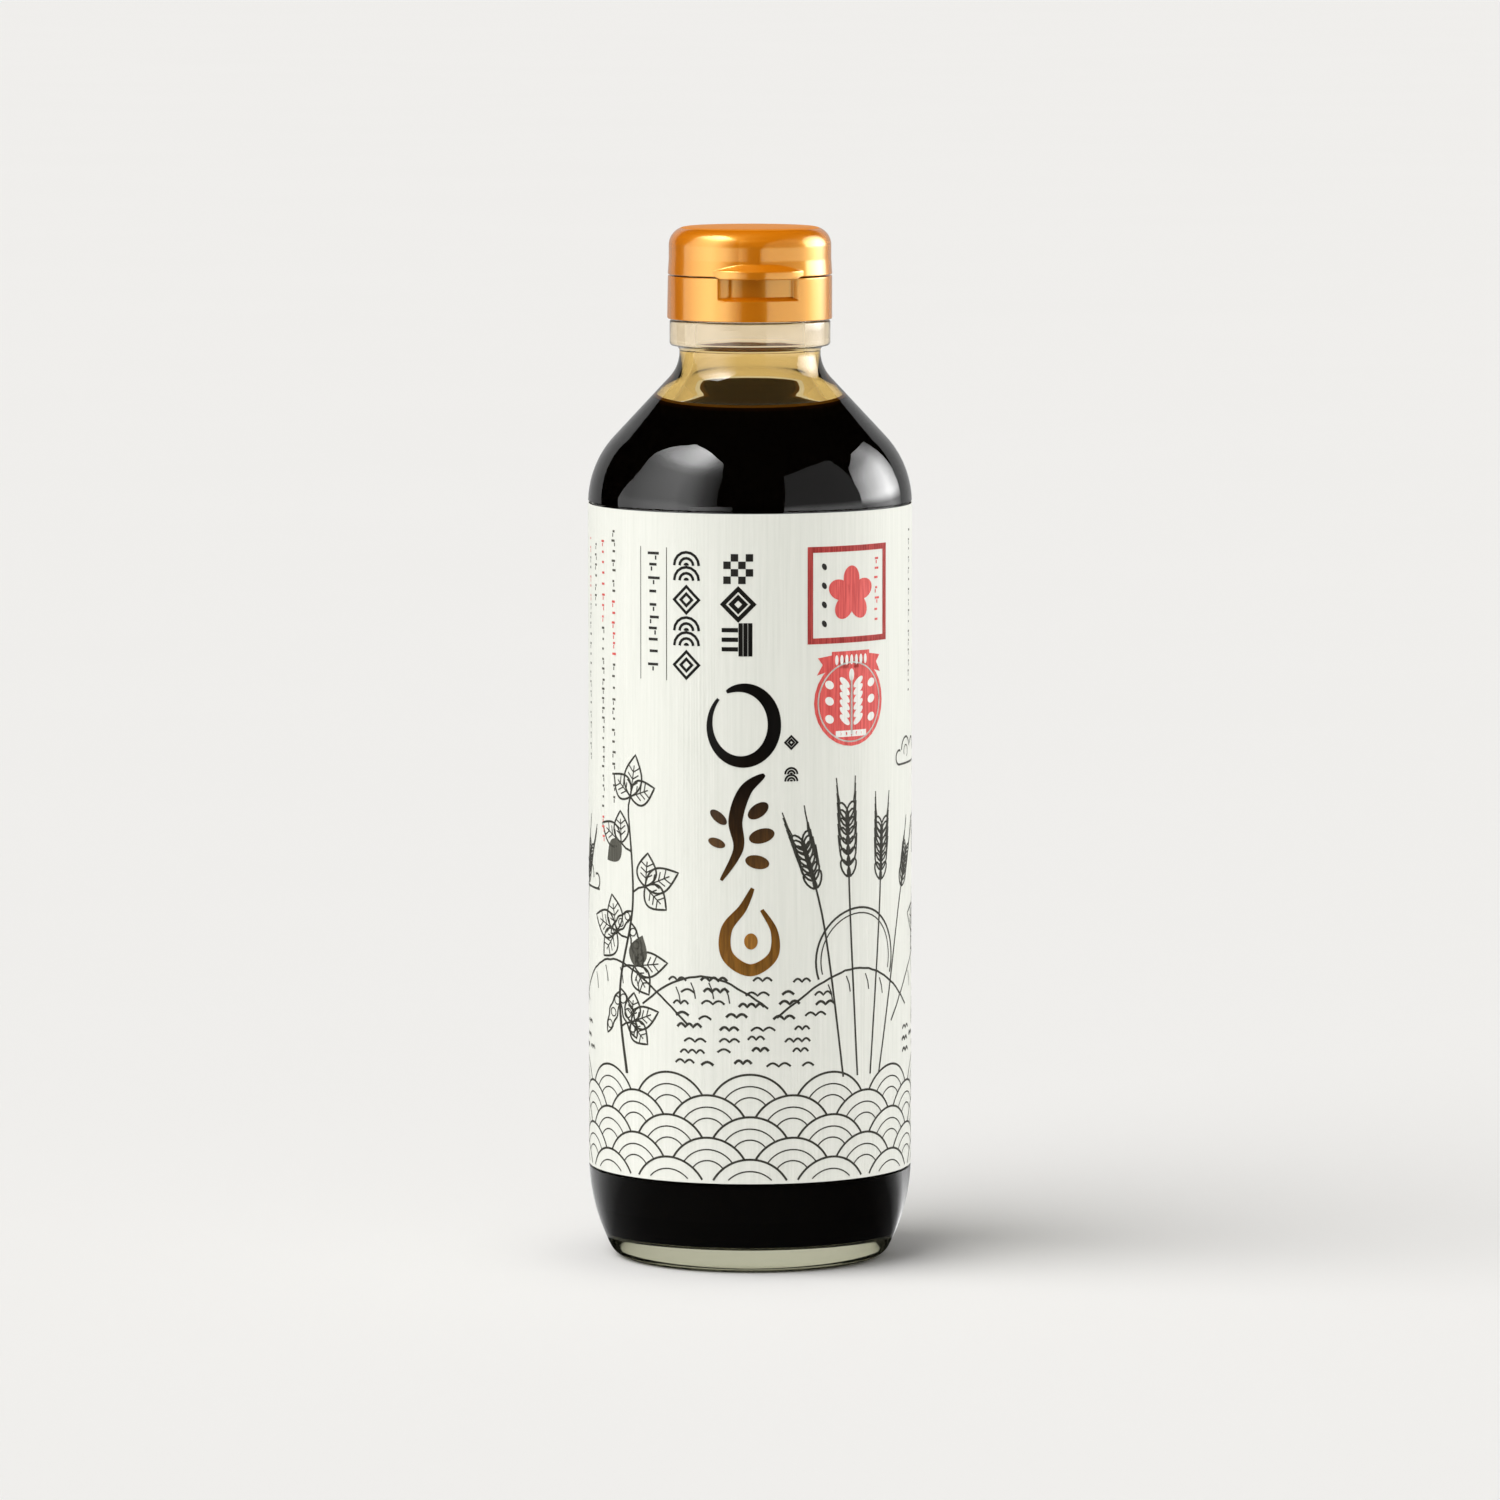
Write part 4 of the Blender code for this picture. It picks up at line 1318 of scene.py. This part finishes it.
def build_print():
    chance = random.Random(PRINT_SEED)
    inks = {tone: Ink(*row[:2]) for tone, row in INKS.items()}
    grey, black, red, white = inks.values()
    gold = Ink("print_gold", GOLD_LIFT)

    wave_field(grey)
    hills(grey, chance)
    for patch in RIPPLES:
        ripples(grey, chance, *patch)
    for shift in PLANT_SHIFTS:
        plant(grey, shift)
    for shift in WHEAT_SHIFTS:
        for stalk in WHEAT_STALKS:
            wheat_ear(grey, curve(stalk, WHEAT_STEPS, shift))
    for ring in SUN_RINGS:
        grey.ring(*SUN_MIDDLE, *ring)
    for where in CLOUDS:
        cloud(grey, *where)
    for u in RULES:
        grey.path([(u, v) for v in RULE_ENDS], RULE_LINE)

    for tones, *column in FINE_PRINT:
        greeked_column([inks[tone] for tone in tones.split()], chance, *column)
    for draw, *where in TILES:
        draw(black, *where)

    brush_marks(gold)
    red_frame(red, black, chance)
    red_roundel(red, white)
    back_panel(black, grey, chance)
    for tone, ink in inks.items():
        ink.finish(ink_material(*INKS[tone][2:]))
    gold.finish(foil_material())


# Light panels that only reflections see
CARD_DISTANCE_M = 0.9
CARD_LEVEL_M = 0.18
CARD_FOOT = -11.3
EVEN_RISE = [(-12, 1.0), (60, 1.0)]

# Each panel: its corners as (azimuth, elevation) in degrees, seen from the bottle, then how bright
# it is along, as (azimuth, radiance) stops, and up, as (elevation, share) stops
PANELS = {
    "left_softbox": (
        [(-107, CARD_FOOT), (-107, 3), (-98, 20), (-99, 31), (-104, 44), (-104, 52), (-97, 60),
         (-92, 65), (-60, 65), (-27, 53), (-23, 35), (-23, 4), (-44, 3), (-44, CARD_FOOT)],
        [(-109, 1.2), (-96, 1.3), (-81, 2.1), (-66, 2.8), (-55, 3.1), (-44, 2.3), (-34, 1.0), (-23, 0.25)],
        [(-12, 1.0), (3, 1.0), (8, 0.8), (20, 0.85), (30, 0.9), (36, 0.95), (43, 1.5), (49, 3.0), (66, 4.2)],
    ),
    "left_low_softbox": (
        [(-44, CARD_FOOT), (-44, 3), (-12, 3), (-12, CARD_FOOT)],
        [(-44, 2.7), (-34, 2.4), (-24, 1.3), (-12, 0.4)],
        EVEN_RISE,
    ),
    "right_softbox": (
        [(23, CARD_FOOT), (27, 37), (50, 43), (81, 45), (83, 31), (86, 18), (86, CARD_FOOT)],
        [(23, 1.25), (86, 1.35)],
        [(-12, 1.3), (0, 1.3), (5, 0.29), (46, 0.27)],
    ),
    "right_strip": (
        [(87, CARD_FOOT), (84, 19), (88, 32), (107, 40), (136, 33), (136, CARD_FOOT)],
        [(84, 2.4), (97, 4.9), (108, 6.0), (118, 6.2), (128, 3.2), (136, 1.2)],
        [(-12, 0.42), (0, 0.42), (5, 1.75), (22, 1.4), (32, 0.6), (42, 0.4)],
    ),
    "backdrop_left": (
        [(134, CARD_FOOT), (134, 10), (145, 26), (180, 30), (180, CARD_FOOT)],
        [(134, 0.40), (180, 0.45)],
        EVEN_RISE,
    ),
    "backdrop_right": (
        [(-180, CARD_FOOT), (-180, 30), (-145, 26), (-132, 5), (-128, CARD_FOOT)],
        [(-180, 0.45), (-128, 0.40)],
        EVEN_RISE,
    ),
}

# Pool of light on the floor that the heel of the glass mirrors, by azimuth
POOL_INNER_M = 0.036
POOL_OUTER_M = 0.88
POOL_LEVEL_M = 0.0006
POOL_SIDES = 48
POOL_GLOW = [
    (-180, 0.9), (-148, 0.75), (-124, 0.65), (-104, 0.33), (-88, 0.12), (-60, 0.06), (0, 0.04),
    (75, 0.02), (98, 0.06), (112, 0.40), (127, 1.5), (136, 1.1), (150, 0.5), (180, 0.4),
]
POOL_RISE = [(-79, 1.0), (-10, 1.0)]

# Lamps: azimuth, elevation and width in degrees, and what each adds to a white floor
KEY_LAMP = ("key", -58.0, 50.0, 60.0, 0.60)
FILL_LAMPS = (
    ("fill", 95.0, 16.0, 60.0, 0.188),
    ("left_fill", -95.0, 16.0, 60.0, 0.035),
    ("top_fill", -30.0, 75.0, 40.0, 0.42),
)
LIT_BY_FILL = ("bottle_", "sauce_", "paper_", "print_", "cap_")

# The world, by the direction in which it is seen
WORLD_COLOUR = (1.0, 0.995, 0.98, 1.0)
WORLD_LIGHT = 0.38
WORLD_THROUGH_GLASS = 0.95
WORLD_OVERHEAD = 0.55

FLOOR_RADIUS_M = 60.0


def hide_from(made, *rays):
    for ray in rays:
        setattr(made, "visible_" + ray, False)


def build_floor():
    shape = bmesh.new()
    bmesh.ops.create_circle(shape, cap_ends=True, segments=64, radius=FLOOR_RADIUS_M)
    floor = finished("studio_floor", shape)
    floor.data.materials.append(stage_material())
    hide_from(floor, "glossy")


def glow_material(name, glow, rise):
    """Emission whose strength changes with the azimuth and the elevation seen from the bottle."""
    made = bpy.data.materials.new(name)
    nodes = Nodes(made)
    maths = nodes.maths
    nodes.tree.nodes.remove(nodes.tree.nodes["Principled BSDF"])

    def along(value, stops):
        """A brightness that runs through its stops as the value, in radians, grows."""
        brightest = max(level for _, level in stops)
        first, last = stops[0][0], stops[-1][0]
        turn = math.radians(last) - math.radians(first)
        share = maths("DIVIDE", maths("SUBTRACT", value, math.radians(first)), turn)
        tones = [((at - first) / (last - first), (level / brightest,) * 3) for at, level in stops]
        return maths("MULTIPLY", nodes.colour(share, tones), brightest)

    x, y, z = nodes.axes()
    azimuth = maths("ARCTAN2", x, maths("MULTIPLY", y, -1.0))
    away = maths("SQRT", maths("ADD", maths("MULTIPLY", x, x), maths("MULTIPLY", y, y)), 0.0)
    elevation = maths("ARCTAN2", maths("SUBTRACT", z, CARD_LEVEL_M), away)
    light = nodes.add("ShaderNodeEmission")
    nodes.link(maths("MULTIPLY", along(azimuth, glow), along(elevation, rise)), light.inputs["Strength"])
    nodes.link(light.outputs["Emission"], nodes.tree.nodes["Material Output"].inputs["Surface"])
    return made


def staged_glow(made, glow, rise):
    """Makes an object a panel that only reflections see."""
    made.data.materials.append(glow_material(made.name, glow, rise))
    hide_from(made, "camera", "diffuse", "transmission", "volume_scatter", "shadow")


def build_panel(name, corners, glow, rise):
    """A flat panel whose corners lie in the given directions, at one distance in plan."""
    shape = bmesh.new()
    points = []
    for azimuth, elevation in corners:
        a, e = math.radians(azimuth), math.radians(elevation)
        reach = CARD_DISTANCE_M
        points.append((reach * math.sin(a), -reach * math.cos(a), CARD_LEVEL_M + reach * math.tan(e)))
    shape.faces.new([shape.verts.new(point) for point in points])
    staged_glow(finished(name, shape), glow, rise)


def build_pool():
    shape = bmesh.new()
    rings = []
    for reach in (POOL_INNER_M, POOL_OUTER_M):
        turns = even_angles(POOL_SIDES)
        points = [(reach * math.cos(a), reach * math.sin(a), POOL_LEVEL_M) for a in turns]
        rings.append([shape.verts.new(point) for point in points])
    for i in range(POOL_SIDES):
        j = (i + 1) % POOL_SIDES
        shape.faces.new((rings[0][i], rings[1][i], rings[1][j], rings[0][j]))
    staged_glow(finished("floor_pool", shape), POOL_GLOW, POOL_RISE)


def sun(name, azimuth_degrees, elevation_degrees, width_degrees, floor_radiance):
    """A wide soft light from one side, by what it adds to a white floor."""
    data = bpy.data.lights.new(name, "SUN")
    data.angle = math.radians(width_degrees)
    elevation = math.radians(elevation_degrees)
    data.energy = floor_radiance * math.pi / math.sin(elevation)
    a = math.radians(azimuth_degrees)
    level = math.cos(elevation)
    towards = Vector((math.sin(a) * level, -math.cos(a) * level, math.sin(elevation)))
    lamp = added(name, data)
    lamp.rotation_euler = towards.to_track_quat("Z", "Y").to_euler()
    hide_from(lamp, "camera", "glossy", "transmission")
    return lamp


def build_lights():
    for name, panel in PANELS.items():
        build_panel(name, *panel)
    build_pool()
    sun(*KEY_LAMP)


def build_fill():
    """Soft lights that fall on the bottle alone, so that the floor keeps its shadow."""
    group = bpy.data.collections.new("lit_by_fill")
    for thing in bpy.context.scene.objects:
        if thing.type == "MESH" and thing.name.startswith(LIT_BY_FILL):
            group.objects.link(thing)
    for lamp in FILL_LAMPS:
        sun(*lamp).light_linking.receiver_collection = group


def build_world():
    """Even light from all round; through the glass it is brighter, most of all low down."""
    world = bpy.data.worlds.new("studio")
    nodes = Nodes(world)
    sky = nodes.tree.nodes["Background"]
    sky.inputs["Color"].default_value = WORLD_COLOUR
    fall = nodes.add("ShaderNodeMapRange", To_Min=WORLD_THROUGH_GLASS, To_Max=WORLD_OVERHEAD)
    nodes.link(nodes.axes("Generated")[2], fall.inputs["Value"])
    pick = nodes.add("ShaderNodeMix", A=WORLD_LIGHT)
    path = nodes.add("ShaderNodeLightPath")
    nodes.link(path.outputs["Is Transmission Ray"], pick.inputs["Factor"])
    nodes.link(fall.outputs["Result"], pick.inputs["B"])
    nodes.link(pick.outputs["Result"], sky.inputs["Strength"])
    world.cycles_visibility.glossy = False
    bpy.context.scene.world = world


def build_camera():
    data = bpy.data.cameras.new("photo_camera")
    data.sensor_width = SENSOR_WIDTH
    data.lens = CAMERA_LENS
    data.clip_end = FAR_CLIP_M
    camera = added("photo_camera", data)
    camera.location = (0.0, -CAMERA_DISTANCE_M, CAMERA_HEIGHT_M)
    camera.rotation_euler = (QUARTER - CAMERA_PITCH, 0.0, 0.0)
    bpy.context.scene.camera = camera
    bpy.context.scene.view_settings.view_transform = "Standard"


build_camera()
build_world()
build_lights()
build_floor()
build_glass()
build_sauce()
build_label()
build_print()
build_cap()
build_fill()
